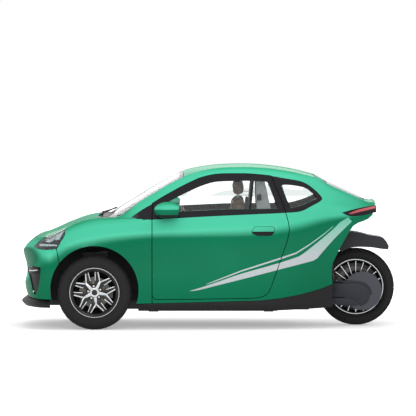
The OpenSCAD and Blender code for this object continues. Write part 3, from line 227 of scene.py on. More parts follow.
def fill(ring, holes=(), lines=(), step=22):
    """Even triangles inside a flat ring, with edges along the holes and lines."""
    rings = [cut_finer(r, step * 0.6) for r in (ring, *holes)]
    lines = [cut_finer(l, step * 0.6, False) for l in lines]
    low, high = np.min(rings[0], 0), np.max(rings[0], 0)
    grid = np.array([(low[0] + step * (i + 0.5 * (j % 2)), low[1] + step * 0.87 * j)
        for j in range(int((high[1] - low[1]) / step / 0.87) + 2) for i in range(int((high[0] - low[0]) / step)
        + 2)])
    grid = grid[inside(grid, rings[0])]
    grid = grid[~near_line(grid, rings + lines, step * 0.55)]
    points, edges = list(grid), []
    for r, closed in [(r, True) for r in rings] + [(l, False) for l in lines]:
        n = len(points)
        points += list(r)
        edges += [(n + i, n + (i + 1) % len(r)) for i in range(len(r) if closed else len(r) - 1)]
    verts, _, faces, *_ = delaunay_2d_cdt([Vector(p) for p in points], edges, [], 0, 1e-3)
    verts, faces = np.array([v[:] for v in verts]), np.array([f for f in faces if len(f) == 3])
    mid = verts[faces].mean(1)
    keep = inside(mid, rings[0])
    for hole in rings[1:]:
        keep &= ~inside(mid, hole)
    faces = faces[keep]
    used, faces = np.unique(faces, return_inverse=True)
    return verts[used], faces.reshape(-1, 3)


def finished(name, mesh, materials, body, angle=32):
    """An object at the origin, with smooth shading up to an angle, that rides on a body."""
    piece = bpy.data.objects.new(name, mesh)
    scene.collection.objects.link(piece)
    for m in materials:
        mesh.materials.append(m)
    mesh.shade_smooth()
    if angle:
        mesh.set_sharp_from_angle(angle=math.radians(angle))
    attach(piece, body)
    return piece


def panel(name, surface, ring, body, materials, slot, holes=(), lines=(), marks=(), depths=(0, SKIN), step=22,
          right=False, inner=None, wall=None, replaces=()):
    """A solid panel of a surface. A mark is (flat ring, index of its material); inner and wall are the indices of
    the inner face and of the edge."""
    verts, faces = fill(ring, holes, lines, step)
    mid = verts[faces].mean(1)
    index = np.zeros(len(faces), int)
    for area, k in marks:
        index[inside(mid, area)] = k
    pairs = np.concatenate((faces[:, [0, 1]], faces[:, [1, 2]], faces[:, [2, 0]]))
    own = {tuple(p) for p in pairs.tolist()}
    rim = [p for p in own if (p[1], p[0]) not in own]
    face_of = {tuple(p): i % len(faces) for i, p in enumerate(pairs.tolist())}
    n = len(verts)
    points = np.concatenate((surface(verts, depths[0]), surface(verts, depths[1])))
    outer = points[faces]
    normal = np.cross(outer[:, 1] - outer[:, 0], outer[:, 2] - outer[:, 0]).sum(0)
    backwards = np.dot(normal, points[:n].mean(0) - points[n:].mean(0)) < 0
    quads = [(a, a + n, b + n, b) for a, b in rim]
    all_faces = [tuple(f) for f in faces.tolist()] + [tuple(reversed(f)) for f in (faces + n).tolist()] + quads
    if backwards:
        all_faces = [tuple(reversed(f)) for f in all_faces]
    if right:
        points = points * (1, -1, 1)
        all_faces = [tuple(reversed(f)) for f in all_faces]
    slots = index.tolist() + ([inner] * len(faces) if inner is not None else index.tolist())
    slots += [wall if wall is not None else int(index[face_of[e]]) for e in rim]
    mesh = bpy.data.meshes.new(name)
    mesh.from_pydata((points * MM).tolist(), [], all_faces)
    mesh.polygons.foreach_set("material_index", slots)
    mesh.update()
    mesh.validate()
    piece = finished(name, mesh, materials, body)
    if replaces:
        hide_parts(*replaces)
    return piece


def both(name, *args, left_body="root", right_body="root", replaces=(), **settings):
    """The same panel on both sides, {side} standing for left or right."""
    return [panel(name.format(side=w), *args, body=b, right=r, replaces=[n.format(side=w) for n in replaces],
        **settings) for w, r, b in (("left", False, left_body), ("right", True, right_body))]


# ---------------------------------------------------------------- materials
def hexa(text, alpha=1.0):
    """An sRGB hex colour as linear values."""
    parts = [int(text[i:i + 2], 16) / 255 for i in (1, 3, 5)]
    return tuple(c / 12.92 if c <= 0.04045 else ((c + 0.055) / 1.055) ** 2.4 for c in parts) + (alpha,)


def add(tree, kind, inputs=None, **settings):
    """A node with its settings, and its inputs as values or as links from other nodes."""
    node = tree.nodes.new(kind)
    for key, value in settings.items():
        setattr(node, key, value)
    for key, value in (inputs or {}).items():
        if isinstance(value, bpy.types.NodeSocket):
            tree.links.new(value, node.inputs[key])
        else:
            node.inputs[key].default_value = value
    return node


def mix(tree, share, low, high, **settings):
    """A colour between two, each an sRGB hex text or a link."""
    low, high = (hexa(c) if isinstance(c, str) else c for c in (low, high))
    return add(tree, "ShaderNodeMix", {0: share, 6: low, 7: high}, data_type="RGBA", **settings).outputs[2]


def remap(tree, value, span=(0.0, 1.0), to=(0.0, 1.0), **settings):
    """A value taken from one span to another."""
    ends = {"From Min": span[0], "From Max": span[1], "To Min": to[0], "To Max": to[1]}
    return add(tree, "ShaderNodeMapRange", {"Value": value, **ends}, **settings).outputs[0]


def relief(tree, height, strength, metres):
    return add(tree, "ShaderNodeBump", {"Height": height, "Strength": strength, "Distance": metres}).outputs[0]


def speckle(tree, at, scale, detail=2.0):
    return add(tree, "ShaderNodeTexNoise", {"Vector": at, "Scale": scale, "Detail": detail}).outputs[0]


def seen_ray(tree):
    """1 for the rays that the camera sends, also through glass and off a mirror."""
    rays = add(tree, "ShaderNodeLightPath").outputs
    out = rays["Is Camera Ray"]
    for kind in ("Is Transmission Ray", "Is Glossy Ray"):
        out = add(tree, "ShaderNodeMath", {0: out, 1: rays[kind]}, operation="MAXIMUM").outputs[0]
    return out


def begin(name):
    material = bpy.data.materials.new(name)
    material.use_nodes = True
    material.node_tree.nodes.clear()
    tree = material.node_tree
    return material, tree, add(tree, "ShaderNodeTexCoord").outputs["Object"]


def end(tree, inputs):
    shader = add(tree, "ShaderNodeBsdfPrincipled", inputs)
    add(tree, "ShaderNodeOutputMaterial", {"Surface": shader.outputs[0]})


def mottled(name, low, high, grain_mm, rough, bump_mm, inputs, detail=3.0, stretch=(1, 1, 1), rough_spread=0.08):
    """A finish whose colour, roughness and height follow one noise whose grain has a real size."""
    material, tree, at = begin(name)
    place = add(tree, "ShaderNodeMapping", {"Vector": at, "Scale": stretch}).outputs[0]
    noise = speckle(tree, place, 1000 / grain_mm, detail)
    colour = mix(tree, noise, low, high)
    spread = remap(tree, noise, to=(rough - rough_spread, rough + rough_spread))
    bump = relief(tree, noise, 0.6, bump_mm * MM)
    end(tree, {"Base Color": colour, "Roughness": spread, "Normal": bump, **inputs})
    return material


# Green car paint, sprayed and lacquered. Painted light: the colour turns from deep green to mint where a surface
# leans up, as a painted reflection of the bright overhead, and to a mid green on the tops.
# Flakes are about 0.1 mm; they are drawn 1.5 mm apart so that they show at all.
material, tree, at = begin("green_lacquer_painted_light")
flake = add(tree, "ShaderNodeTexVoronoi", {"Vector": at, "Scale": 1000 / 1.5}).outputs["Color"]
cloud = speckle(tree, at, 2.2, 1.0)
deep = mix(tree, cloud, "#056F4C", "#087C58")
lean = add(tree, "ShaderNodeSeparateXYZ", {0: add(tree, "ShaderNodeNewGeometry").outputs["Normal"]}).outputs[2]
# Painted reflection: mint where the surface's normal leans up
painted_sky_reflection = remap(tree, lean, (0.05, 0.24), interpolation_type="SMOOTHSTEP")
painted_light_green = mix(tree, painted_sky_reflection, deep, "#4EC9A3")
# Painted light: a mid green where the surface faces straight up
painted_top_tone = remap(tree, lean, (0.45, 0.9), interpolation_type="SMOOTHSTEP")
painted_light_green = mix(tree, painted_top_tone, painted_light_green, "#1C9A70")
sparkle = mix(tree, 0.05, painted_light_green, flake, blend_type="OVERLAY")
tilt = relief(tree, flake, 0.05, 0.0001)
end(tree, {"Base Color": sparkle, "Roughness": 0.4, "Metallic": 0.08, "Normal": tilt, "Specular IOR Level": 0.0,
    "Coat Weight": 0.14, "Coat Roughness": 0.06, "Coat IOR": 1.5})
PAINT = material

# Gloss black film and acrylic round the windows: deep black, mirror-like.
BAND = mottled("gloss_black_acrylic", "#1C1C20", "#26262A", 40, 0.12, 0.01, {"Specular IOR Level": 0.0,
    "Coat Weight": 0.3, "Coat Roughness": 0.04}, rough_spread=0.02)
# Silver vinyl film stripes: a satin, faintly brushed silver that thins out to the paint's colour near its top.
material, tree, at = begin("silver_vinyl_film")
place = add(tree, "ShaderNodeMapping", {"Vector": at, "Scale": (0.1, 1, 1)}).outputs[0]
brush = speckle(tree, place, 1000 / 6, 3.0)
silver = mix(tree, brush, "#AEB6B9", "#C4CBCE")
height = add(tree, "ShaderNodeSeparateXYZ", {0: at}).outputs[2]
fade = remap(tree, height, (0.6, 0.93))
colour = mix(tree, fade, silver, "#56C2A2")
end(tree, {"Base Color": colour, "Roughness": 0.35, "Metallic": 0.1, "Coat Weight": 0.4})
STRIPE = material
# Injection moulded ABS with a fine spark-eroded grain, about 1 mm, drawn at 1.6 mm.
TRIM = mottled("grained_black_abs", "#0E0E10", "#161618", 1.6, 0.55, 0.12, {"Specular IOR Level": 0.25})
# Smooth satin polypropylene of the mudguard and the wheel housing, with a faint flow mottle.
GUARD = mottled("satin_polypropylene", "#1B1C21", "#24252B", 2.4, 0.42, 0.05, {"Specular IOR Level": 0.3})
COVER = mottled("blue_grey_nylon_cover", "#232733", "#2D323E", 2.0, 0.4, 0.06,
    {"Coat Weight": 0.15, "Coat Roughness": 0.3})
# Powder coated steel: orange-peel lumps about 2 mm wide.
COATED = mottled("black_powder_coat", "#17181A", "#222326", 2.2, 0.45, 0.08, {"Metallic": 0.1})
ARM = mottled("graphite_powder_coat", "#1A1D26", "#252934", 2.2, 0.4, 0.08,
    {"Metallic": 0.1, "Specular IOR Level": 0.35})
# Cast iron and cast aluminium with a sand-cast skin.
CAST = mottled("sand_cast_iron", "#4A4A4C", "#5E5E60", 1.5, 0.6, 0.2, {"Metallic": 0.7})
ZINC = mottled("zinc_plated_steel", "#8B8E92", "#A5A8AB", 9, 0.35, 0.02, {"Metallic": 1.0})
# Tyre tread and sidewall rubber: dull, faintly dusty.
RUBBER = mottled("tyre_rubber", "#121213", "#1B1B1D", 3.0, 0.75, 0.1, {"Specular IOR Level": 0.3})
SEAL = mottled("sponge_rubber_seal", "#0D0D0E", "#161617", 1.2, 0.8, 0.05, {"Specular IOR Level": 0.25})
# Diamond-turned aluminium spoke faces: bright, with fine turning lines drawn 1.2 mm apart.
material, tree, at = begin("diamond_turned_aluminium")
turn = add(tree, "ShaderNodeTexWave", {"Vector": at, "Scale": 1000 / 1.2 / 6.28, "Distortion": 0.4},
    bands_direction="Z").outputs[0]
polish = remap(tree, turn, to=(0.16, 0.3))
groove = relief(tree, turn, 0.15, 0.00005)
end(tree, {"Base Color": hexa("#B4B6B8"), "Metallic": 1.0, "Roughness": polish, "Normal": groove})
TURNED = material
# Black lacquered alloy in the recesses of the wheels.
WHEEL_BLACK = mottled("black_wheel_lacquer", "#0C0C0E", "#141417", 12, 0.3, 0.02, {"Metallic": 0.1,
    "Specular IOR Level": 0.3, "Coat Weight": 0.15})
# Ground iron brake disc, and its zinc-yellow bell.
DISC = mottled("ground_disc_iron", "#454341", "#5C5A57", 4, 0.35, 0.03, {"Metallic": 1.0}, stretch=(1, 8, 1))
BRASSY = mottled("yellow_passivated_steel", "#8C744B", "#A98F62", 8, 0.4, 0.03, {"Metallic": 0.9})
# Brown leather with pebble grain, cells about 2 mm, and a soft sheen.
material, tree, at = begin("pebbled_brown_leather")
cell = add(tree, "ShaderNodeTexVoronoi", {"Vector": at, "Scale": 1000 / 2.6},
    feature="DISTANCE_TO_EDGE").outputs["Distance"]
# Painted shade: the pebble grain's creases are a darker brown
grain_crease_shade = remap(tree, cell, (0.0, 0.18))
wear = speckle(tree, at, 9.0, 4.0)
worn = mix(tree, wear, "#5E3F2A", "#7C573B")
colour = mix(tree, grain_crease_shade, "#3A281C", worn)
pebble = relief(tree, grain_crease_shade, 0.4, 0.0004)
end(tree, {"Base Color": colour, "Roughness": 0.5, "Normal": pebble, "Sheen Weight": 0.2,
    "Specular IOR Level": 0.4})
LEATHER = material
# Needle-felt carpet and knitted headliner: matt and fibrous.
CARPET = mottled("needle_felt_carpet", "#1D1D1F", "#2C2C2F", 1.8, 0.95, 0.8, {"Sheen Weight": 0.4}, detail=6.0)
LINER = mottled("knitted_headliner", "#8A8B8E", "#9B9CA0", 1.6, 0.95, 0.3, {"Sheen Weight": 0.3}, detail=5.0)
# Woven polyester belt webbing: twill ribs 2 mm apart across the strap.
material, tree, at = begin("polyester_belt_webbing")
rib = add(tree, "ShaderNodeTexWave", {"Vector": at, "Scale": 1000 / 2.0 / 6.28, "Distortion": 0.6},
    bands_direction="DIAGONAL").outputs[0]
colour = mix(tree, rib, "#121214", "#26262A")
weave = relief(tree, rib, 0.5, 0.0003)
end(tree, {"Base Color": colour, "Roughness": 0.8, "Normal": weave, "Sheen Weight": 0.3})
WEBBING = material


def clear(name, tint, rough, wave_mm, inputs=None, edge=None):
    """Float glass or polycarbonate: smooth, with a very faint roller wave; edge is its colour seen along its face."""
    material, tree, at = begin(name)
    wave = speckle(tree, at, 1000 / wave_mm, 1.0)
    ripple = relief(tree, wave, 0.02, 0.0005)
    colour = hexa(tint)
    if edge:
        slant = add(tree, "ShaderNodeLayerWeight", {"Blend": 0.5}).outputs["Facing"]
        deep = remap(tree, slant, (0.7, 0.96))
        colour = mix(tree, deep, tint, edge)
    end(tree, {"Base Color": colour, "Roughness": rough, "IOR": 1.45, "Transmission Weight": 1.0, "Normal": ripple,
        **(inputs or {})})
    return material


GLASS = clear("laminated_float_glass", "#F7FBFA", 0.0, 160)
# A screen seen along its face turns grey: its body's index is near 1, and its coat carries the gloss.
SCREEN_GLASS = clear("shaded_laminated_glass", "#EEF3F3", 0.0, 160, {"IOR": 1.02, "Coat Weight": 0.2,
    "Coat Roughness": 0.02}, "#8A9094")
TINTED = clear("privacy_tinted_glass", "#9AA0A3", 0.0, 160, {"IOR": 1.02, "Coat Weight": 0.2,
    "Coat Roughness": 0.02}, "#3A3E42")
LENS = clear("polycarbonate_lamp_lens", "#DCE6E8", 0.02, 30)
RED_LENS = clear("red_acrylic_lens", "#C8383C", 0.05, 20)
# Red acrylic over a prismatic reflector, as a lit strip reads by day.
RED_STRIP = mottled("red_prismatic_acrylic", "#A8262C", "#D24A4C", 3.5, 0.2, 0.05, {"Coat Weight": 0.8})
# Vacuum-metallised reflector bowls.
CHROME = mottled("metallised_reflector", "#D4D6D8", "#E6E8EA", 20, 0.08, 0.01, {"Metallic": 1.0}, rough_spread=0.03)
# A white light guide behind the lamp lens.
GUIDE = mottled("opal_light_guide", "#D8DEE2", "#ECF0F2", 6, 0.35, 0.02, {"Subsurface Weight": 0.2,
    "Subsurface Radius": (0.003, 0.003, 0.003)})
MIRROR_GLASS = mottled("silvered_mirror_glass", "#BFC6CA", "#CBD2D6", 60, 0.03, 0.002, {"Metallic": 1.0},
    rough_spread=0.01)
# Liquid crystal screen behind gloss glass: near black with a blue cast.
SCREEN = mottled("black_display_glass", "#0B0E14", "#131824", 30, 0.08, 0.005, {"Coat Weight": 1.0},
    rough_spread=0.02)

# ---------------------------------------------------------------- light, floor and camera
bpy.ops.object.select_all(action="DESELECT")
scene.view_settings.view_transform = "Standard"
world = bpy.data.worlds.new("studio")
scene.world = world
world.use_nodes = True
world.node_tree.nodes.clear()
tree = world.node_tree
level = remap(tree, seen_ray(tree), to=(0.55, 1.0))
sky = add(tree, "ShaderNodeBackground", {"Color": hexa("#FFFFFF"), "Strength": level})
add(tree, "ShaderNodeOutputWorld", {"Surface": sky.outputs[0]})

bpy.ops.mesh.primitive_plane_add(size=60, location=(0, 0, 0))
floor = bpy.context.object
floor.name = "floor"
material, tree, at = begin("white_studio_floor")
grain = speckle(tree, at, 3.0)
pale = mix(tree, grain, "#FBFBFB", "#FFFFFF")
# Seen straight on, the floor brightens to plain white away from the car
far = add(tree, "ShaderNodeVectorMath", {0: at}, operation="LENGTH").outputs["Value"]
spread = remap(tree, far, (1.6, 4.0), (0.36, 1.0))
lift = add(tree, "ShaderNodeMath", {0: spread, 1: seen_ray(tree)}, operation="MULTIPLY").outputs[0]
end(tree, {"Base Color": pale, "Roughness": 0.9, "Emission Color": hexa("#FFFFFF"), "Emission Strength": lift,
    "Specular IOR Level": 0.1})
floor.data.materials.append(material)

for name, spot, size, power in (("overhead_softbox", (0.2, 0.4, 4.2), (5.0, 2.4), 75), ("side_softbox",
        (0.6, 6.5, 2.6), (6.0, 2.0), 120), ("back_softbox", (-0.5, -6.5, 2.6), (6.0, 2.0), 110)):
    data = bpy.data.lights.new(name, "AREA")
    data.shape, data.size, data.size_y, data.energy = "RECTANGLE", size[0], size[1], power
    lamp = bpy.data.objects.new(name, data)
    scene.collection.objects.link(lamp)
    lamp.location = spot
    lamp.rotation_euler = (Vector((0, 0, 0.5)) - Vector(spot)).to_track_quat("-Z", "Y").to_euler()

# The camera stands far off on the left; its view is SEEN_WIDTH metres wide at the car's near side
DISTANCE, RISE, AIM = 40.0, math.radians(2.2), Vector((0, 0, 0.976))
SEEN_WIDTH, NEAR_SIDE = 3.44864, 0.4
camera = bpy.data.objects.new("camera", bpy.data.cameras.new("camera"))
scene.collection.objects.link(camera)
camera.location = AIM + Vector((0, math.cos(RISE), math.sin(RISE))) * DISTANCE
camera.rotation_euler = (AIM - camera.location).to_track_quat("-Z", "Y").to_euler()
camera.data.sensor_width = 36
camera.data.lens = (DISTANCE - NEAR_SIDE) / SEEN_WIDTH * camera.data.sensor_width
camera.data.clip_end = 200
scene.camera = camera


# ---------------------------------------------------------------- outlines, as the side shows them
ARCH = [(935 + 364 * math.cos(a), 328 + 364 * math.sin(a)) for a in np.linspace(math.radians(-20),
    math.radians(200), 56)]
DOOR = ([(457, 1036), (457, 292)] + [(417 + 40 * math.cos(math.radians(a)), 292 - 40 * math.sin(math.radians(a)))
    for a in range(0, 91, 15)] + [(403, 252), (69, 255), (-350, 261)] + bend([(-350, 261), (-433, 269), (-475, 290),
    (-504, 322), (-550, 445), (-600, 587), (-650, 737), (-666, 838), (-634, 975), (-600, 1069), (-558, 1167),
    (-524, 1258)], 3) + bend([(-524, 1260), (-349, 1276), (-224, 1278), (-99, 1276), (-15, 1265), (69, 1242),
    (152, 1205), (236, 1163), (361, 1094), (457, 1036)], 3)[1:-1])
DOOR_WINDOW = ([(405, 962)] + bend([(405, 1005), (319, 1054), (236, 1097), (152, 1138), (69, 1175), (-15, 1203),
    (-99, 1217), (-324, 1222), (-470, 1216), (-500, 1190), (-534, 1100), (-567, 1009), (-556, 996)], 3)
    + [(-556, 995), (-140, 991), (227, 974)])
QUARTER_WINDOW = bend([(-612, 1186), (-700, 1184), (-800, 1163), (-860, 1120), (-896, 1082), (-880, 1066),
    (-790, 1028), (-700, 1003), (-676, 1006), (-655, 1060), (-620, 1150)], 3, True)
BAND_RING = (bend([(633, 925), (545, 985), (445, 1042), (361, 1094), (236, 1163), (152, 1205), (69, 1242),
    (-15, 1265), (-99, 1276), (-224, 1278), (-349, 1276), (-517, 1262), (-684, 1233), (-784, 1211), (-868, 1159),
    (-940, 1086), (-926, 1052), (-851, 1013), (-767, 973), (-642, 961), (-266, 945), (69, 929), (403, 909),
    (528, 904)], 3)[:-1] + [(528, 904)])
HEADLAMP = bend([(1250, 664), (1206, 735), (1172, 833), (1240, 802), (1323, 768), (1390, 728), (1440, 680)],
    4) + [(1400, 662), (1330, 656)]
TAIL_LAMP = (bend([(-1106, 959), (-1180, 978), (-1280, 998), (-1374, 1012)], 3)[:-1] + [(-1396, 1014), (-1396, 954)]
    + bend([(-1372, 953), (-1300, 936), (-1202, 926), (-1150, 936), (-1106, 959)], 3)[:-1])
VENT = [(1377, 514), (1440, 520), (1493, 500), (1498, 462), (1478, 440), (1452, 330), (1440, 290), (1420, 286),
    (1400, 330), (1384, 420)]
TRAILING = [(-1378, 1002), (-1372, 975), (-1368, 951), (-1361, 932), (-1328, 903), (-1286, 885), (-1244, 872),
    (-1202, 847), (-1169, 801), (-1144, 759), (-1102, 684), (-1060, 600), (-1031, 540), (-1022, 500), (-1026, 416),
    (-1031, 365)]
SILL_LINE = [(-1031, 365), (-935, 329), (-851, 307), (-767, 286), (-600, 257), (-433, 240), (-266, 236), (69, 227),
    (403, 219), (587, 211)]


def shrink(ring, by):
    """A ring moved in by a distance, or out where it is negative."""
    p = np.array(ring, float)
    along_ = np.roll(p, -1, 0) - np.roll(p, 1, 0)
    n = np.stack((-along_[:, 1], along_[:, 0]), 1)
    n /= np.maximum(np.linalg.norm(n, axis=1), 1e-6)[:, None]
    area = 0.5 * np.sum(p[:, 0] * np.roll(p[:, 1], -1) - np.roll(p[:, 0], -1) * p[:, 1])
    return p + n * by * (1 if area > 0 else -1)


def ring_of(points, step=18):
    return flat(cut_finer(points, step))


# The silver stripes: a wide one that rises to the rear and a thin one above it
WIDE_STRIPE = (bend([(152, 318), (69, 330), (-102, 373), (-358, 437), (-580, 494)], 3)[:-1]
    + [(-580, 494), (-870, 565), (-904, 586)] + bend([(-904, 587), (-955, 646), (-1040, 740), (-1126, 825),
    (-1190, 884)], 3)[1:] + bend([(-1160, 919), (-1092, 880), (-1040, 829), (-955, 757), (-836, 663), (-756, 604)],
    3)[:-1] + bend([(-750, 603), (-588, 550), (-273, 462), (-102, 403), (69, 345), (140, 325)], 3))
THIN_LINE = [(17, 375), (-51, 400), (-273, 485), (-605, 590), (-725, 629), (-836, 697), (-955, 782), (-1032, 846)]
THIN_HALF = (1, 4, 6, 7, 7, 6, 5, 3)
thin_edges = [[(x, z + w * sign) for (x, z), w in zip(THIN_LINE, THIN_HALF)] for sign in (1, -1)]
THIN_STRIPE = thin_edges[0] + thin_edges[1][::-1]

band, wide, thin = (flat(cut_finer(r, 15)) for r in (BAND_RING, WIDE_STRIPE, THIN_STRIPE))
marks = [(wide, 1), (thin, 1), (band, 2)]
closed = lambda ring: np.concatenate((ring, ring[:1]))
mark_lines = [closed(band), closed(wide), closed(thin)]
looks = [PAINT, STRIPE, BAND, TRIM]


def within(lines, ring):
    """The parts of the lines that lie inside a ring, as separate lines."""
    out = []
    for line in lines:
        fine = np.array(cut_finer(line, 12, False))
        keep, run = inside(fine, ring) & ~near_line(fine, [np.array(cut_finer(ring, 6))], 7), []
        for p, k in zip(fine, keep):
            if k:
                run.append(p)
            elif len(run) > 2:
                out.append(run)
                run = []
            else:
                run = []
        if len(run) > 2:
            out.append(run)
    return out


# Doors: a 50 mm shell with painted edges and a trimmed inner face
CUP = [(-356, 808), (-382, 847), (-394, 850), (-529, 852), (-546, 845), (-551, 830), (-545, 803), (-528, 780),
    (-512, 773), (-410, 773), (-371, 790)]
door_ring, window_hole, cup_hole = ring_of(DOOR), flat(cut_finer(DOOR_WINDOW, 15)), flat(cut_finer(CUP, 12))
both("{side}_door_shell", on_side, door_ring, left_body="left_door", right_body="right_door", materials=looks,
    slot="body_paint", holes=[window_hole, cup_hole], lines=within(mark_lines, door_ring), marks=marks,
    depths=(0, WALL), inner=3, wall=0, replaces=["{side}_door"])
both("{side}_window_glass", on_side, flat(shrink(cut_finer(DOOR_WINDOW, 15), 1)), left_body="left_door",
    right_body="right_door", materials=[GLASS], slot="clear_glass", depths=(6, 10), step=40,
    replaces=["{side}_door_glass"])

# Body side behind the door, with its pillar, quarter window and tail
body_ring = ring_of([(830, 1400), (830, 921), (640, 918), (457, 906), (458, 700), (458, 218), (403, 219)]
    + SILL_LINE[-3::-1] + TRAILING[::-1] + [(-1399, 1036), (-1399, 1400)], 15)
door_hole = flat(shrink(cut_finer(DOOR, 18), -GAP))
quarter_hole, lamp_hole = flat(cut_finer(QUARTER_WINDOW, 15)), flat(cut_finer(TAIL_LAMP, 12))
both("{side}_quarter_shell", on_side, body_ring, materials=looks, slot="body_paint",
    holes=[door_hole, quarter_hole, lamp_hole], lines=within(mark_lines, body_ring), marks=marks, depths=(0, WALL),
    inner=3, wall=0, replaces=["{side}_body_side"])
for piece in both("{side}_quarter_glass", on_side, flat(shrink(cut_finer(QUARTER_WINDOW, 15), 1)),
        materials=[GLASS], slot="tinted_glass", depths=(6, 10), step=40):
    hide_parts("quarter_glasses")

# Wings: thin steel skins from the door to the bumper
fender_ring = ring_of([(464, 217), (464, 905), (640, 915), (820, 919), (880, 1000), (1177, 1000), (1177, 780),
    (1244, 665), (1223, 560), (1223, 200)], 15)
both("{side}_wing_skin", on_side, fender_ring, materials=looks, slot="body_paint", holes=[flat(cut_finer(ARCH, 15)),
    flat(cut_finer(HEADLAMP, 12))], lines=within(mark_lines[:2], fender_ring), marks=marks, depths=(0, 8), inner=3,
    wall=0, replaces=["{side}_fender"])

# The front end is one moulding, laid out flat from its middle: p to the side (positive is left), v up and in
MIDDLE = CORNER_X + 90 * WRAP


def on_front(pv, deep):
    u, v = MIDDLE - np.abs(pv[:, 0]), pv[:, 1]
    low = on_side(np.stack((u, np.minimum(v, TOP * STEP_V)), -1), deep)
    s = np.where(u > CORNER_X, CORNER_X + (u - CORNER_X) / WRAP, u)
    edge, a, w = rail(TOP, s), np.radians(np.clip(s - CORNER_X, 0, 90)), np.maximum(0, v - TOP * STEP_V)
    x, y = edge[:, 0] - w * np.sin(a), np.maximum(0, edge[:, 1] - w * np.cos(a))
    high = np.stack((x, y, top_z(x, np.minimum(1, y / seam_y(x))) - deep), -1)
    out = np.where((v > TOP * STEP_V)[:, None], high, low)
    return out * np.stack((np.ones(len(u)), np.where(pv[:, 0] < 0, -1, 1), np.ones(len(u))), -1)


def round_front(ring):
    """A ring laid out on the left side, for the front end's own layout; and the same one on the right."""
    left = np.stack((MIDDLE - ring[:, 0], ring[:, 1]), -1)
    return left, (left * (-1, 1))[::-1]


hood_y = lambda x: seam_y(x) - SKIN - GAP / 2 - 0.5
HOOD = ([(x, float(hood_y(x))) for x in np.linspace(908, 1310, 14)] + bend([(1310, float(hood_y(1310))),
    (1383, 457), (1421, 320), (1438, 0), (1421, -320), (1383, -457), (1310, -float(hood_y(1310)))], 6)[1:-1]
    + [(x, -float(hood_y(x))) for x in np.linspace(1310, 908, 14)])


def hood_reach(u):
    """How far in from the seam the hood's gap lies, at u round the front."""
    s = CORNER_X + (u - CORNER_X) / WRAP if u > CORNER_X else u
    edge, a = rail(TOP, s), math.radians(max(0, s - CORNER_X))
    ring, low, high = shrink(HOOD, -GAP / 2), 0.0, 140.0
    for _ in range(16):
        w = (low + high) / 2
        hit = inside(np.array([[edge[0] - w * math.sin(a), edge[1] - w * math.cos(a)]]), ring)[0]
        low, high = (low, w) if hit else (w, high)
    return low


LOW_CUT, HIGH_CUT = 1229, 1183  # where the moulding meets the wings, below and above the headlamp
HEADLAMP_FLAT, VENT_FLAT = flat(cut_finer(HEADLAMP, 12)), flat(cut_finer(VENT, 12))
half = ([tuple(q) for q in flat(cut_finer([(LOW_CUT, 200), (LOW_CUT, 560), (1250, 665), (HIGH_CUT, 780),
    (HIGH_CUT, 1000)], 15, False))] + [(u, TOP * STEP_V + hood_reach(u))
    for u in [HIGH_CUT + 15 * i for i in range(8)] + list(np.linspace(1303, MIDDLE, 34))])
half = [(u, max(0, v)) for u, v in half]
left_half = [(MIDDLE - u, v) for u, v in half]
front_ring = np.array([(MIDDLE - LOW_CUT, 0)] + left_half + [(-p, v) for p, v in left_half[::-1][1:]]
    + [(LOW_CUT - MIDDLE, 0)])
panel("bumper_moulding", on_front, front_ring, "root", looks, "body_paint", holes=[r for h in (HEADLAMP_FLAT,
    VENT_FLAT, flat(cut_finer(ARCH, 15))) for r in round_front(h)], lines=[[(p, TOP * STEP_V)
    for p in np.linspace(-580, 580, 120)]], depths=(0, 4), inner=3, wall=0, replaces=["front_bumper"])

# Hood, roof, screens and tailgate lie on the top surface and are laid out in plan
panel("hood_lid", on_top, shrink(HOOD, GAP / 2), "hood", looks, "body_paint", depths=(0, 14), inner=3, wall=0,
    step=26, replaces=["hood"])


def top_ring(x0, x1, edge, n=24):
    xs = np.linspace(x0, x1, n)
    return np.array([(x, seam_y(x) - edge) for x in xs] + [(x, edge - seam_y(x)) for x in xs[::-1]])


roof_ring = top_ring(-880, 203, SKIN + 0.8)
panel("roof_skin", on_top, roof_ring, "root", [PAINT, LINER], "body_paint", depths=(0, 16), inner=1, wall=0,
    step=30, replaces=["roof_panel"])
screen_ring = top_ring(207, 811, SKIN + 0.8)
screen_clear = top_ring(240, 772, 46)
panel("screen_glass", on_top, screen_ring, "root", [BAND, SCREEN_GLASS], "clear_glass",
    lines=[closed(screen_clear)], marks=[(screen_clear, 1)], depths=(3, 8), step=30, replaces=["windshield"])
rear_ring = top_ring(-962.4, -1295.6, 52.4)
rear_clear = top_ring(-990, -1262, 84)
panel("rear_screen_glass", on_top, rear_ring, "tailgate", [BAND, TINTED], "tinted_glass",
    lines=[closed(rear_clear)], marks=[(rear_clear, 1)], depths=(3, 8), step=30, replaces=["rear_glass"])

# The tailgate's own layout: how far its top runs back from its front edge, and how wide its half is drawn
HATCH_FRONT, HATCH_RUN, LIP_ROUND, HALF_SPAN, HATCH_EDGE = -892, 494, 18, 400, 12
TAIL_ROWS = [(-1386, 1048.6, 0), (-1399, 1036, 282), (-1378, 1000, 286), (-1368, 968, 294), (-1362, 940, 300)]


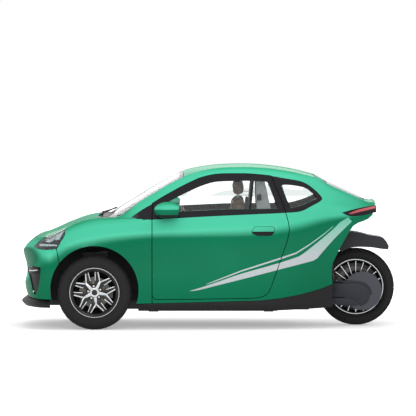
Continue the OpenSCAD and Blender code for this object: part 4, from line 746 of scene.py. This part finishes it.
def on_hatch(pq, deep):
    """p runs back along the tailgate and down its tail; q is the share of the half width, times HALF_SPAN."""
    p, v = pq[:, 0], pq[:, 1] / HALF_SPAN
    x = HATCH_FRONT - np.minimum(p, HATCH_RUN)
    half_width = seam_y(x) - HATCH_EDGE
    top = np.stack((x, v * half_width, top_z(x, np.abs(v * half_width) / seam_y(x)) - deep), -1)
    rows = np.array(TAIL_ROWS, float)
    rows[0, 2] = seam_y(TAIL_ROWS[0][0]) - HATCH_EDGE
    steps_ = np.concatenate(([0], np.cumsum(np.hypot(np.diff(rows[:, 0]), np.diff(rows[:, 1])))))
    t = np.clip(p - HATCH_RUN, 0, steps_[-1])
    at = [np.interp(t, steps_, rows[:, i]) for i in range(3)]
    drop = top_z(np.full(len(v), -1386.0), np.abs(v)) - rows[0, 1]
    tail = np.stack((at[0] + 22 * v**2 * np.minimum(1, t / LIP_ROUND) + deep, v * at[2], at[1]
        + drop * np.maximum(0, 1 - t / LIP_ROUND)), -1)
    return np.where((p > HATCH_RUN)[:, None], tail, top)


glass_hole = [(HATCH_FRONT - x, HALF_SPAN * y / (float(seam_y(x)) - HATCH_EDGE)) for x,
    y in cut_finer(top_ring(-962, -1296, 52), 20)]
panel("tailgate_lid", on_hatch, np.array([(0, -HALF_SPAN), (594, -HALF_SPAN), (594, HALF_SPAN), (0, HALF_SPAN)],
    float), "tailgate", [PAINT, LINER], "body_paint", holes=[np.array(glass_hole)], lines=[[(p, q)
    for q in np.linspace(1 - HALF_SPAN, HALF_SPAN - 1, 60)] for p in (HATCH_RUN, HATCH_RUN + LIP_ROUND)],
    depths=(0, 14), inner=1, wall=0, step=24, replaces=["hatch"])

REAR_ROWS = np.array([(-1350, 930), (-1322, 908), (-1280, 890), (-1236, 874)], float)


def on_rear(pq, deep):
    p, v = pq[:, 0], pq[:, 1] / HALF_SPAN
    steps_ = np.concatenate(([0], np.cumsum(np.hypot(*np.diff(REAR_ROWS, axis=0).T))))
    x0, z0 = (np.interp(p, steps_, REAR_ROWS[:, i]) for i in range(2))
    edge_s, edge_t = find(x0 + 14, z0)
    half_width = side(edge_s, edge_t)[:, 1] - WALL - 3
    return np.stack((x0 + 14 * v**2 + deep, v * half_width, z0 + deep * 0.4), -1)


panel("tail_lower_skin", on_rear, np.array([(0, -HALF_SPAN), (125, -HALF_SPAN), (125, HALF_SPAN), (0, HALF_SPAN)],
    float), "root", [PAINT, TRIM], "body_paint", depths=(0, 14), inner=1, wall=0, step=20, replaces=["rear_panel"])


# ---------------------------------------------------------------- shaping by hand
def take_all():
    bpy.ops.mesh.select_mode(type="VERT")
    bpy.ops.mesh.select_all(action="SELECT")


def start(points, close=False):
    """A line through points in edit mode, drawn by extruding one corner; a closed one is filled with a face."""
    bpy.ops.object.select_all(action="DESELECT")
    bpy.ops.mesh.primitive_plane_add(size=0.002, location=(0, 0, 0))
    bpy.ops.object.mode_set(mode="EDIT")
    take_all()
    bpy.ops.mesh.merge(type="CENTER")
    at = Vector((0, 0, 0))
    for i, p in enumerate(points):
        step, at = Vector(p) * MM - at, Vector(p) * MM
        if i:
            bpy.ops.mesh.extrude_region_move(TRANSFORM_OT_translate={"value": step})
        else:
            bpy.ops.transform.translate(value=step)
    if close:
        bpy.ops.mesh.select_all(action="SELECT")
        bpy.ops.mesh.edge_face_add()


def push(x, y, z):
    """Extrude what is selected."""
    bpy.ops.mesh.extrude_region_move(TRANSFORM_OT_translate={"value": Vector((x, y, z)) * MM})


def choose(test):
    """Select the faces whose centre, in millimetres, passes a test."""
    bpy.ops.mesh.select_mode(type="FACE")
    shape = bmesh.from_edit_mesh(bpy.context.edit_object.data)
    for face in shape.faces:
        face.select_set(bool(test(face.calc_center_median() / MM)))
    shape.select_flush_mode()
    bmesh.update_edit_mesh(bpy.context.edit_object.data)


def dye(index, test):
    """Give the faces that pass a test another material."""
    shape = bmesh.from_edit_mesh(bpy.context.edit_object.data)
    for face in shape.faces:
        if test(face.calc_center_median() / MM):
            face.material_index = index
    bmesh.update_edit_mesh(bpy.context.edit_object.data)


def repeat(n, centre, axis="Y", turn=None):
    """Copies of the shape round a centre."""
    take_all()
    for _ in range(n - 1):
        bpy.ops.mesh.duplicate()
        bpy.ops.transform.rotate(value=turn or 2 * math.pi / n, orient_axis=axis,
            center_override=Vector(centre) * MM)


def turned(profile, centre, steps=64):
    """A profile of (out along y, radius) pairs, spun round the y axis through a centre."""
    start([(centre[0], centre[1] + y, centre[2] + r) for y, r in profile])
    take_all()
    bpy.ops.mesh.spin(steps=steps, angle=2 * math.pi, center=Vector(centre) * MM, axis=(0, 1, 0))
    tidy()


def tidy():
    take_all()
    bpy.ops.mesh.remove_doubles(threshold=0.00002)
    bpy.ops.mesh.normals_make_consistent(inside=False)


def slab(corners, x, y, z):
    """A filled outline, extruded by (x, y, z)."""
    start(corners, close=True)
    push(x, y, z)
    tidy()


def plate(outline, y0, y1):
    """An outline in side view, filled and extruded from y0 to y1."""
    slab([(x, y0, z) for x, z in outline], 0, y1 - y0, 0)


def modify(piece, kind, **settings):
    """Put a modifier on a piece and apply it."""
    modifier = piece.modifiers.new(kind.lower(), kind)
    for key, value in settings.items():
        setattr(modifier, key, value)
    bpy.ops.object.modifier_apply(modifier=modifier.name)


def finish(name, materials, body, slot, bevel=0, segments=2, angle=35, replaces=()):
    """Leave edit mode, apply a bevel and give the piece its finish and its body; the slot is not used."""
    bpy.ops.object.mode_set(mode="OBJECT")
    piece = bpy.context.object
    piece.name = piece.data.name = name
    if bevel:
        modify(piece, "BEVEL", width=bevel * MM, segments=segments, limit_method="ANGLE",
            angle_limit=math.radians(35))
    for m in materials:
        piece.data.materials.append(m)
    bpy.ops.object.shade_smooth_by_angle(angle=math.radians(angle))
    settle(piece, body, replaces)
    return piece


def settle(piece, body, replaces=()):
    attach(piece, body)
    if replaces:
        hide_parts(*replaces)


def other_side(piece, name, body, replaces=()):
    """The same piece on the other side, with its own mesh."""
    bpy.ops.object.select_all(action="DESELECT")
    piece.select_set(True)
    bpy.context.view_layer.objects.active = piece
    bpy.ops.object.duplicate()
    twin = bpy.context.object
    twin.name = twin.data.name = name
    bpy.ops.object.mode_set(mode="EDIT")
    bpy.ops.mesh.select_all(action="SELECT")
    bpy.ops.transform.resize(value=(1, -1, 1), center_override=(0, 0, 0))
    bpy.ops.mesh.normals_make_consistent(inside=False)
    bpy.ops.object.mode_set(mode="OBJECT")
    settle(twin, body, replaces)
    return twin


def two_sides(name, materials, slot, body="root", replaces=(), **settings):
    """A finished piece and its twin; {side} stands for left or right in each name."""
    piece = finish(name.format(side="left"), materials, body.format(side="left"), slot,
        replaces=[n.format(side="left") for n in replaces], **settings)
    return piece, other_side(piece, name.format(side="right"), body.format(side="right"),
        [n.format(side="right") for n in replaces])


def polar(centre, y, r, degrees):
    a = math.radians(degrees)
    return (centre[0] + r * math.cos(a), centre[1] + y, centre[2] + r * math.sin(a))


def off_axis(p, centre):
    return math.hypot(p.x - centre[0], p.z - centre[2])


# ---------------------------------------------------------------- wheels
def tyre(centre, outer, half, bead, steps, lean):
    """A tyre with a stiff bead, a round sidewall and sipe-cut tread blocks between four grooves."""
    tread = outer - 7
    wall = [(half - 23, bead + 1), (half - 22, bead + 12), (half - 17, bead + 18), (half - 7, bead + 34),
        (half - 0.5, (bead + outer) / 2 + 6), (half - 4, outer - 34), (half - 5.5, outer - 31),
        (half - 12, outer - 16), (half - 24, tread)]
    across = [half - 39, half - 44, half - 66, half - 71]
    top = [(y, tread) for y in across]
    inner = [(-(half - 24), outer - 18), (-(half - 10), outer - 36), (-(half - 16), bead + 40),
        (-(half - 31), bead + 6)]
    ring = wall + top + [(-y, r) for y, r in top[::-1]] + [(-y, r) for y, r in wall[::-1]] + inner[::-1] + [(-y, r)
        for y, r in inner]
    turned(ring + ring[:1], centre, steps)
    bands = [(half - 39, half - 12), (half - 66, half - 44), (-(half - 71), half - 71)]

    def block(p):
        y, r = p.y - centre[1], off_axis(p, centre)
        turn = math.degrees(math.atan2(p.z - centre[2], p.x - centre[0])) / 360 * steps
        slot = math.floor(turn + (lean if abs(y) > half - 40 else 0)) % 3
        return r > outer - 14 and any(a < (abs(y) if a > 0 else y) < b for a, b in bands) and (slot
            or abs(y) < half - 71)
    choose(block)
    bpy.ops.mesh.extrude_region_shrink_fatten(TRANSFORM_OT_shrink_fatten={"value": 0.0068})


FRONT, REAR = (935, 650, 305), (-1236, 0, 321)
tyre(FRONT, 305, 82.5, 190.5, 96, 1)
two_sides("front_{side}_tyre_tread", [RUBBER], "tyre_rubber", "front_{side}_wheel", ["front_{side}_tyre"])

def front_metal(name, materials, **settings):
    two_sides("front_{side}_" + name, materials, "rim_alloy", "front_{side}_wheel", **settings)


def rear_metal(name, materials, **settings):
    finish("rear_" + name, materials, "rear_wheel", "rim_alloy", **settings)


# Rim barrel: a bright turned lip outside, black lacquer in the well
turned([(66, 190), (69, 193), (69, 201), (69, 205), (66.5, 206), (64, 204), (63, 191), (58, 189.5), (48, 189),
    (40, 178), (8, 177), (-48, 189), (-62, 189.5), (-64, 203), (-67, 204), (-68, 192), (-60, 184), (-46, 182),
    (-42, 166), (-36, 166), (-30, 172), (36, 172), (44, 176), (50, 184), (62, 185), (66, 190)], FRONT, 72)
dye(1, lambda p: (p.y > FRONT[1] + 64.6 and off_axis(p, FRONT) > 201.5) or (-43 < p.y - FRONT[1] < -35
    and off_axis(p, FRONT) < 172))
front_metal("rim_barrel", [WHEEL_BLACK, TURNED], replaces=["front_{side}_rim"])

SPOKE_TURN = 82  # degrees that the first spoke is turned from straight ahead


def spoke_ring(corners):
    a = math.radians(SPOKE_TURN)
    return [(FRONT[0] + u * math.cos(a) - v * math.sin(a), FRONT[2] + u * math.sin(a) + v * math.cos(a)) for u,
        v in corners]


def bar(u0, v0, u1, v1, w0, w1, y0, y1):
    """A straight bar between two places of a spoke, wider at one end."""
    d = Vector((u1 - u0, v1 - v0)).normalized()
    n = Vector((-d.y, d.x))
    plate(spoke_ring([(u0 + n.x * w0, v0 + n.y * w0), (u0 - n.x * w0, v0 - n.y * w0),
        (u1 - n.x * w1, v1 - n.y * w1), (u1 + n.x * w1, v1 + n.y * w1)]), y0, y1)


def merge_shapes(parts):
    """Join the pieces of a list into the last of them, left in edit mode."""
    bpy.ops.object.select_all(action="DESELECT")
    for part in parts:
        part.select_set(True)
    bpy.context.view_layer.objects.active = parts[-1]
    bpy.ops.object.join()
    bpy.ops.object.mode_set(mode="EDIT")


def shape():
    bpy.ops.object.mode_set(mode="OBJECT")
    return bpy.context.object


# Black spoke bodies, each a pair of deep arms, on a black hub
backs = []
for side_ in (1, -1):
    plate(spoke_ring([(194, 51 * side_), (192, 27 * side_), (98, 17 * side_), (60, 10 * side_), (52, 34 * side_),
        (78, 61 * side_)][::side_]), FRONT[1] + 6, FRONT[1] + 21)
    repeat(5, FRONT)
    backs.append(shape())
turned([(4, 62), (4, 0), (20, 0), (20, 58), (16, 62), (4, 62)], FRONT, 60)
backs.append(shape())
merge_shapes(backs)
front_metal("spoke_bodies", [WHEEL_BLACK], bevel=1.6)

# Bright faces: from five stubs on the hub, each forks into two bars, with a thinner bar beside each
faces = []
for side_ in (1, -1):
    bar(79, 57 * side_, 199, 49 * side_, 5.2, 4.2, FRONT[1] + 19, FRONT[1] + 29)
    repeat(5, FRONT)
    faces.append(shape())
    bar(97, 20 * side_, 191, 32 * side_, 3.4, 3.2, FRONT[1] + 18, FRONT[1] + 25)
    repeat(5, FRONT)
    faces.append(shape())
a36 = math.radians(36)
bar(20 * math.cos(a36), 20 * math.sin(a36), 100 * math.cos(a36), 100 * math.sin(a36), 15, 7.5, FRONT[1] + 18.5,
    FRONT[1] + 30)
repeat(5, FRONT)
faces.append(shape())
turned([(19, 0), (31, 0), (31, 22), (33, 25), (32, 38), (28, 42), (19, 42), (19, 0)], FRONT, 48)
faces.append(shape())
merge_shapes(faces)
front_metal("spoke_faces", [TURNED], bevel=1.2)

turned([(30, 0), (35.5, 0), (35, 12), (34, 20), (32, 23), (30, 23), (30, 0)], FRONT, 40)
front_metal("hub_cap", [WHEEL_BLACK])
bolt = polar(FRONT, 20, 53, SPOKE_TURN)
bpy.ops.object.select_all(action="DESELECT")
bpy.ops.mesh.primitive_cylinder_add(vertices=6, radius=9.5 * MM, depth=14 * MM, location=Vector(bolt) * MM,
    rotation=(math.pi / 2, 0, 0))
bpy.ops.object.transform_apply(location=True, rotation=True)
bpy.ops.object.mode_set(mode="EDIT")
choose(lambda p: p.y > bolt[1] + 5)
bpy.ops.mesh.inset(thickness=0.002)
push(0, 2.2, 0)
choose(lambda p: p.y > bolt[1] + 8)
bpy.ops.mesh.inset(thickness=0.0035)
push(0, -3, 0)
repeat(5, FRONT)
front_metal("wheel_bolts", [TURNED], bevel=0.5, segments=1)

# Brake disc: a ground ring on a yellow bell
turned([(-22, 74), (-22, 128), (-30, 128), (-30, 74), (-24, 70), (-20, 46), (-20, 20), (4, 20), (4, 60), (-16, 66),
    (-22, 74)], FRONT, 64)
dye(1, lambda p: off_axis(p, FRONT) < 72)
front_metal("brake_disc", [DISC, BRASSY], bevel=0.8, segments=1)

# Rear wheel: a broad tyre on a rim with twenty thin spokes
tyre(REAR, 321, 75, 215.9, 102, 1)
finish("rear_tyre_tread", [RUBBER], "rear_wheel", "tyre_rubber", replaces=["rear_tyre"])
turned([(56, 215), (61, 218), (61, 224.5), (61, 230), (58, 231), (56, 229), (55, 216.5), (48, 214.5), (40, 205),
    (8, 202), (-40, 205), (-48, 214.5), (-55, 216.5), (-56, 229), (-58, 231), (-61, 230), (-61, 218), (-50, 208),
    (-38, 199), (8, 196), (38, 199), (46, 206), (52, 211), (56, 215)], REAR, 80)
dye(1, lambda p: abs(p.y) > 55.6 and off_axis(p, REAR) > 222)
rear_metal("rim_barrel", [WHEEL_BLACK, TURNED], replaces=["rear_rim"])
spokes = []
for y0, y1, w in ((47, 54, 1.9), (4, 48, 3.0)):
    slab([polar(REAR, y0, 42, -w * 2.4), polar(REAR, y0, 216, -w * 0.5), polar(REAR, y0, 216, w * 0.5),
        polar(REAR, y0, 42, w * 2.4)], 0, y1 - y0, 0)
    repeat(20, REAR)
    spokes.append(shape())
merge_shapes(spokes)
dye(1, lambda p: p.y < 53.5)
rear_metal("wheel_spokes", [TURNED, WHEEL_BLACK], bevel=0.6, segments=1)
# A black dished web closes the wheel behind the spokes, with a ground ring on it
turned([(-30, 44), (-22, 110), (-24, 196), (-30, 198), (-36, 196), (-34, 110), (-40, 44), (-30, 44)], REAR, 64)
rear_metal("wheel_web", [WHEEL_BLACK])
turned([(-48, 22), (-48, 40), (-40, 48), (34, 50), (46, 46), (50, 40), (50, 22), (-48, 22)], REAR, 48)
rear_metal("wheel_hub", [WHEEL_BLACK], bevel=1)
turned([(-14, 130), (-14, 168), (-21, 168), (-21, 130), (-14, 130)], REAR, 72)
rear_metal("brake_disc", [DISC], bevel=0.8, segments=1)


# ---------------------------------------------------------------- outside fittings
def side_pieces(name, ring, materials, slot, depths, replaces=(), **settings):
    """The same thin or thick piece of the side surface on both sides."""
    pieces = both(name, on_side, flat(cut_finer(ring, 12)), materials=materials, slot=slot, depths=depths,
        **settings)
    for piece in pieces:
        for node in replaces:
            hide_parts(node)
    return pieces


# Door seals close the gap round each door from inside
seal_ring, seal_hole = shrink(cut_finer(DOOR, 18), -16), shrink(cut_finer(DOOR, 18), 18)
both("{side}_door_seal", on_side, flat(seal_ring), materials=[SEAL], slot="trim_plastic", holes=[flat(seal_hole)],
    depths=(53, 60))
# Door handle: a body-coloured flap over a deep cup; the cup is given black plastic as painted shade, for the dark
# recess under the flap
on_door = {"left_body": "left_door", "right_body": "right_door"}
side_pieces("{side}_handle_cup", shrink(cut_finer(CUP, 12), 1), [TRIM], "black_plastic", (24, 30), **on_door)
side_pieces("{side}_handle_flap", [(-361, 809), (-384, 844), (-394, 847), (-528, 849), (-543, 842), (-547, 830),
    (-543, 809)], [PAINT], "body_paint", (-1.5, 9), **on_door)
# Window divider on the door and the trim of the pillar behind it
side_pieces("{side}_window_divider", [(-361, 1221), (-380, 1221), (-356, 990), (-336, 990)], [BAND], "trim_plastic",
    (4, 14), **on_door)
side_pieces("{side}_pillar_trim", [(-392, 1222), (-468, 1221), (-520, 985), (-402, 985)], [LINER], "trim_plastic",
    (62, 76))

# Headlamps: a clear lens over a black housing with a reflector, a light guide and a lower strip
side_pieces("{side}_headlamp_lens", shrink(cut_finer(HEADLAMP, 12), 1.2), [LENS], "headlamp_lens", (0.5, 3.5),
    replaces=["headlamps"])
side_pieces("{side}_headlamp_housing", shrink(cut_finer(HEADLAMP, 12), 1.5), [BAND], "trim_plastic", (15, 40))
side_pieces("{side}_headlamp_guide", [(1334, 722), (1262, 768), (1264, 738), (1306, 716)], [GUIDE], "headlamp_lens",
    (9, 14.8), step=12)
side_pieces("{side}_headlamp_reflector", [(1256, 772), (1185, 812), (1224, 742), (1259, 736)], [CHROME],
    "headlamp_lens", (11, 14.8), step=12)
side_pieces("{side}_headlamp_strip", [(1396, 696), (1380, 706), (1244, 700), (1240, 688), (1392, 686)], [CHROME],
    "headlamp_lens", (10, 14.8), step=12)
# Corner vents with a gloss lamp unit across the top
side_pieces("{side}_vent_well", shrink(cut_finer(VENT, 12), 0.8), [TRIM], "trim_plastic", (12, 34))
side_pieces("{side}_fog_lamp", [(1484, 500), (1466, 510), (1404, 511), (1384, 498), (1383, 462), (1484, 456)],
    [BAND], "trim_plastic", (-2, 11.5), step=14)
side_pieces("{side}_fog_light_guide", [(1478, 482), (1404, 494), (1404, 486), (1478, 472)], [GUIDE],
    "headlamp_lens", (-3.5, -2.2), step=10)
# Tail lamps: black, with a red strip that widens to the rear
strip = flat(cut_finer(bend([(-1165, 951), (-1225, 974), (-1290, 990), (-1388, 1009)], 3)
    + bend([(-1388, 990), (-1290, 969), (-1225, 955), (-1180, 945)], 3), 8))
side_pieces("{side}_tail_lamp", shrink(cut_finer(TAIL_LAMP, 12), 1), [BAND, RED_STRIP], "tail_lamp_lens", (1, 40),
    replaces=["tail_lamps"], marks=[(strip, 1)], lines=[closed(strip)], step=12)

# Mirrors: a rounded housing, cut flat at the rear for the glass, on a black arm
bpy.ops.object.select_all(action="DESELECT")
bpy.ops.mesh.primitive_uv_sphere_add(segments=48, ring_count=24, radius=1)
bpy.ops.object.mode_set(mode="EDIT")
bpy.ops.transform.resize(value=(0.112, 0.080, 0.070), center_override=(0, 0, 0))
bpy.ops.transform.translate(value=(0.330, 0.782, 0.986))
bpy.ops.mesh.bisect(plane_co=(0.241, 0.78, 0.98), plane_no=(1, 0, 0.12), use_fill=True, clear_inner=True)
bpy.ops.mesh.select_mode(type="FACE")
on_glass = lambda p: abs(p.y - 782) < 12 and abs(p.z - 986) < 14
choose(lambda p: p.x < 243 and on_glass(p))
bpy.ops.mesh.inset(thickness=0.006)
push(6, 0, 0)
dye(1, lambda p: 243 < p.x < 252 and on_glass(p))
dye(2, lambda p: p.z < 948)
two_sides("{side}_mirror_housing", [PAINT, MIRROR_GLASS, TRIM], "body_paint", "{side}_door", ["{side}_mirror"],
    bevel=1.5, angle=40)
slab([(442, 690, 962), (436, 690, 978), (400, 690, 984), (330, 690, 972), (330, 690, 950), (410, 690, 948)], -60,
    66, -4)
two_sides("{side}_mirror_arm", [TRIM], "black_plastic", "{side}_door", bevel=4, segments=3)

# The arm's cover: three moulded bands with grooves between them, in front of the round drive cover
ARM_Y = 183.8


def drive_arc(r, degrees):
    """Places at a radius round the drive cover, in side view."""
    return [(-1256 + r * math.cos(math.radians(a)), 259 + r * math.sin(math.radians(a))) for a in degrees]


plate([(-985, 381), (-1194, 379)] + drive_arc(112, range(95, 181, 12))
      + drive_arc(98, range(181, 92, -12)) + [(-1194, 362), (-985, 365)], ARM_Y, ARM_Y + 7)
upper = shape()
plate([(-985, 246), (-1134, 239), (-1214, 223), (-1268, 190)] + drive_arc(93, range(265, 92, -12))
      + [(-1194, 355), (-985, 358)], ARM_Y, ARM_Y + 13)
middle = shape()
plate([(-985, 182), (-1134, 171), (-1230, 166), (-1268, 183), (-1214, 216), (-1134, 231), (-985, 238)], ARM_Y, ARM_Y
    + 9)
lower = shape()
merge_shapes([upper, middle, lower])
finish("swingarm_side_cover", [ARM], "root", "arm_paint", bevel=3, segments=3)


# ---------------------------------------------------------------- cabin
def cushion(name, outline, y0, y1, body="root", crown=10, replaces=(), seams=()):
    """A padded block from a side outline: rounded, then blown up as cloth, with sewn channels pressed in."""
    plate(outline, y0, y1)
    bpy.ops.object.mode_set(mode="OBJECT")
    piece = bpy.context.object
    piece.name = piece.data.name = name
    modify(piece, "BEVEL", width=0.026, segments=4, limit_method="ANGLE")
    modify(piece, "REMESH", mode="VOXEL", voxel_size=0.0085)
    before = np.array([v.co[:] for v in piece.data.vertices])
    cloth = piece.modifiers.new("cloth", "CLOTH")
    cloth.settings.use_pressure, cloth.settings.uniform_pressure_force = True, 4
    cloth.settings.effector_weights.gravity = 0
    cloth.settings.quality = 4
    for step in range(1, 21):
        scene.frame_set(step)
    bpy.context.view_layer.objects.active = piece
    bpy.ops.object.modifier_apply(modifier=cloth.name)
    scene.frame_set(1)
    after = np.array([v.co[:] for v in piece.data.vertices])
    move = after - before
    far = np.maximum(np.linalg.norm(move, axis=1), 1e-9)
    after = before + move * np.minimum(1, crown * MM / far)[:, None]
    # Sewn channels: valleys along chosen lines, pressed in along the normals
    normals = np.array([v.normal[:] for v in piece.data.vertices])
    for across, at, deep in seams:
        near = np.exp(-((after[:, across] / MM - at) / 5.0) ** 2)
        after -= normals * (near * deep * MM)[:, None]
    piece.data.vertices.foreach_set("co", after.ravel())
    piece.data.update()
    modify(piece, "SUBSURF", levels=1, render_levels=1)
    piece.data.materials.append(LEATHER)
    piece.data.shade_smooth()
    settle(piece, body, replaces)
    return piece


for side_, m in (("left", 1), ("right", -1)):
    y = 290 * m
    cushion(side_ + "_seat_cushion", [(-205, 300), (-200, 392), (180, 408), (222, 392), (226, 340), (205, 300)],
        y - 152, y + 152, replaces=[side_ + "_seat"], seams=[(1, y - 92, 7), (1, y + 92, 7)], crown=8)
    for w in (1, -1):
        cushion("%s_seat_%s_bolster" % (side_, "outer" if w == m else "inner"), [(-200, 300), (-190, 410),
            (150, 428), (195, 405), (200, 330), (180, 300)], y + w * 190 - 26, y + w * 190 + 26, crown=8)
    cushion(side_ + "_seat_back", [(-190, 400), (-286, 960), (-300, 1070), (-238, 1082), (-205, 1050), (-196, 960),
        (-112, 420)], y - 150, y + 150, seams=[(1, y - 90, 7), (1, y + 90, 7), (2, 930, 6)], crown=8)
    for w in (1, -1):
        cushion("%s_seat_%s_wing" % (side_, "outer" if w == m else "inner"), [(-180, 430), (-286, 880), (-318, 985),
            (-285, 1045), (-225, 1040), (-168, 960), (-90, 440)], y + w * 184 - 25, y + w * 184 + 25, crown=8)
    cushion(side_ + "_head_restraint", [(-292, 1112), (-297, 1180), (-270, 1200), (-225, 1198), (-205, 1170),
        (-210, 1112), (-240, 1100)], y - 105, y + 105, crown=7)
    # Plastic shell under and behind the cushions, and the head restraint's two posts
    plate([(-215, 292), (-228, 380), (-345, 900), (-352, 1050), (-318, 1062), (-302, 960), (-200, 396), (-190, 299),
        (210, 299), (214, 291)], y - 165, y + 165)
    finish(side_ + "_seat_shell", [TRIM], "root", "trim_plastic", bevel=8, segments=3)
    posts = []
    for w in (1, -1):
        slab([(-252 + 6 * math.cos(a), y + w * 55 + 6 * math.sin(a), 1060) for a in np.linspace(0, 2 * math.pi, 12,
            endpoint=False)], 0, 0, 55)
        posts.append(shape())
    merge_shapes(posts)
    finish(side_ + "_head_restraint_posts", [ZINC], "root", "frame_steel")
    # Shoulder belt: a flat strap from the pillar guide over the back to its reel
    strap = [(-420, 560, 1085), (-330, 430, 1098), (-262, 380, 1086), (-214, 340, 1010), (-168, 300, 850),
        (-110, 240, 640), (-70, 170, 470), (-66, 118, 400)]
    strap = bend(strap, 5)
    start([(x, q * m - 23, z) for x, q, z in strap])
    bpy.ops.mesh.select_all(action="SELECT")
    push(0, 46, 0)
    modify(shape(), "SOLIDIFY", thickness=0.0022, offset=1)
    bpy.ops.object.mode_set(mode="EDIT")
    tidy()
    finish(side_ + "_shoulder_belt", [WEBBING], "root", "trim_plastic")
    slab([(-440, 575 * m, 1060), (-440, 575 * m, 1110), (-405, 590 * m, 1110), (-405, 590 * m, 1060)], 0, -14 * m,
        0)
    finish(side_ + "_belt_guide", [TRIM], "root", "trim_plastic", bevel=4, segments=3)

# Instrument panel: a soft top over a lower panel, and a wide screen
profile = [(640, 650), (642, 830), (620, 868), (560, 884), (470, 882), (400, 868), (356, 836), (344, 780),
    (352, 700), (390, 650)]
plate(profile, -556, 556)
dye(1, lambda p: p.z > 800)
finish("dashboard_panel", [TRIM, SEAL], "root", "trim_plastic", bevel=9, segments=3, replaces=["dashboard"])
slab([(372, -170, 872), (352, -170, 990), (362, -170, 992), (384, -170, 872)], 0, 300, 0)
dye(1, lambda p: p.x < 364 and 885 < p.z < 985)
finish("centre_screen", [TRIM, SCREEN], "root", "trim_plastic", bevel=3)
for m in (1, -1):
    plate([(352, 720), (340, 724), (340, 776), (352, 780)], 430 * m - 60, 430 * m + 60)
    choose(lambda p: p.x < 341)
    bpy.ops.mesh.inset(thickness=0.008)
    push(6, 0, 0)
    finish("%s_air_vent" % ("left" if m > 0 else "right"), [TRIM], "root", "trim_plastic", bevel=2)

# Steering wheel: a leather rim on three spokes, tilted to the driver
AXIS, WHEEL = Vector((-0.906, 0, 0.4226)), Vector((150, 290, 830))
bpy.ops.object.select_all(action="DESELECT")
bpy.ops.mesh.primitive_torus_add(major_segments=64, minor_segments=16, major_radius=0.171, minor_radius=0.0135)
bpy.ops.object.mode_set(mode="EDIT")
bpy.ops.mesh.select_all(action="SELECT")
bpy.ops.transform.translate(value=(0, 0, 0.006))
rim_ = shape()
spokes = []
for turn in (-90, 20, 160):
    a = math.radians(turn)
    place = lambda r, w: (r * math.cos(a) - w * math.sin(a), r * math.sin(a) + w * math.cos(a), -6)
    slab([place(30, -20), place(164, -13), place(164, 13), place(30, 20)], 0, 0, 12)
    dye(1, lambda p: True)
    spokes.append(shape())
bpy.ops.object.select_all(action="DESELECT")
bpy.ops.mesh.primitive_cylinder_add(vertices=40, radius=0.056, depth=0.034, location=(0, 0, -0.002))
bpy.ops.object.transform_apply(location=True)
bpy.ops.object.mode_set(mode="EDIT")
choose(lambda p: p.z > 10)
bpy.ops.mesh.inset(thickness=0.012)
push(0, 0, 7)
bpy.ops.transform.resize(value=(0.8, 0.8, 1), center_override=(0, 0, 0.022))
dye(1, lambda p: True)
spokes.append(shape())
merge_shapes([rim_] + spokes)
wheel = shape()
wheel.data.transform(Matrix.Translation(WHEEL * MM) @ AXIS.to_track_quat("Z", "Y").to_matrix().to_4x4())
bpy.ops.object.mode_set(mode="EDIT")
finish("steering_wheel_rim", [LEATHER, TRIM], "steering_wheel", "wheel_rim_leather", bevel=1.5,
    replaces=["steering_wheel"])

# Carpet over the floor
plate([(-690, 176), (-690, 182), (515, 182), (515, 176)], -560, 560)
finish("cabin_carpet", [CARPET], "root", "trim_plastic", bevel=1)

# ---------------------------------------------------------------- springs
def coil(name, foot, top, radius, wire, turns):
    """A coil spring between two places, turned up as a helix and then leaned to its line."""
    foot, top = Vector(foot) * MM, Vector(top) * MM
    bpy.ops.object.select_all(action="DESELECT")
    bpy.ops.mesh.primitive_circle_add(vertices=10, radius=wire * MM, location=(radius * MM, 0, 0),
        rotation=(math.pi / 2, 0, 0), fill_type="NOTHING")
    piece = bpy.context.object
    bpy.ops.object.transform_apply(location=True, rotation=True)
    modify(piece, "SCREW", angle=2 * math.pi, steps=24, render_steps=24, iterations=turns,
           screw_offset=(top - foot).length / turns)
    piece.data.transform(Matrix.Translation(foot) @ (top - foot).to_track_quat("Z", "Y").to_matrix().to_4x4())
    bpy.ops.object.mode_set(mode="EDIT")
    bpy.ops.mesh.select_all(action="SELECT")
    bpy.ops.mesh.fill_holes(sides=12)
    tidy()
    return finish(name, [COATED], "root", "frame_steel", angle=60)


for side_, m in (("left", 1), ("right", -1)):
    coil(side_ + "_rear_spring", (-1036, 127 * m, 440), (-994, 127 * m, 715), 29, 5, 8)


# ---------------------------------------------------------------- finishes of the CAD nodes that stay
FINISH = [
    (TRIM, "front_lip cowl_panel wipers side_sills dashboard"),
    (CARPET, "wheel_arch_liners"),
    (GUARD, "rear_wheel_housing rear_mudguard"),
    (COATED, "floor_tub front_subframe front_suspension rear_shocks steering_column"),
    (ZINC, "battery_pack hinge_pins left_door_hinges right_door_hinges hood_hinges tailgate_hinges"),
    (CAST, "left_knuckle right_knuckle"),
    (ARM, "swingarm"),
    (COVER, "drive_cover"),
    (LEATHER, "left_seat right_seat steering_wheel"),
    (RUBBER, "front_left_tyre front_right_tyre rear_tyre"),
    (TURNED, "front_left_rim front_right_rim rear_rim"),
    (RED_LENS, "tail_lamps"),
    (LENS, "headlamps"),
    (GLASS, "quarter_glasses"),
    (PAINT, "left_mirror right_mirror"),
]
for material, names in FINISH:
    for name in names.split():
        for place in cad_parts[name].material_slots:
            place.material = material
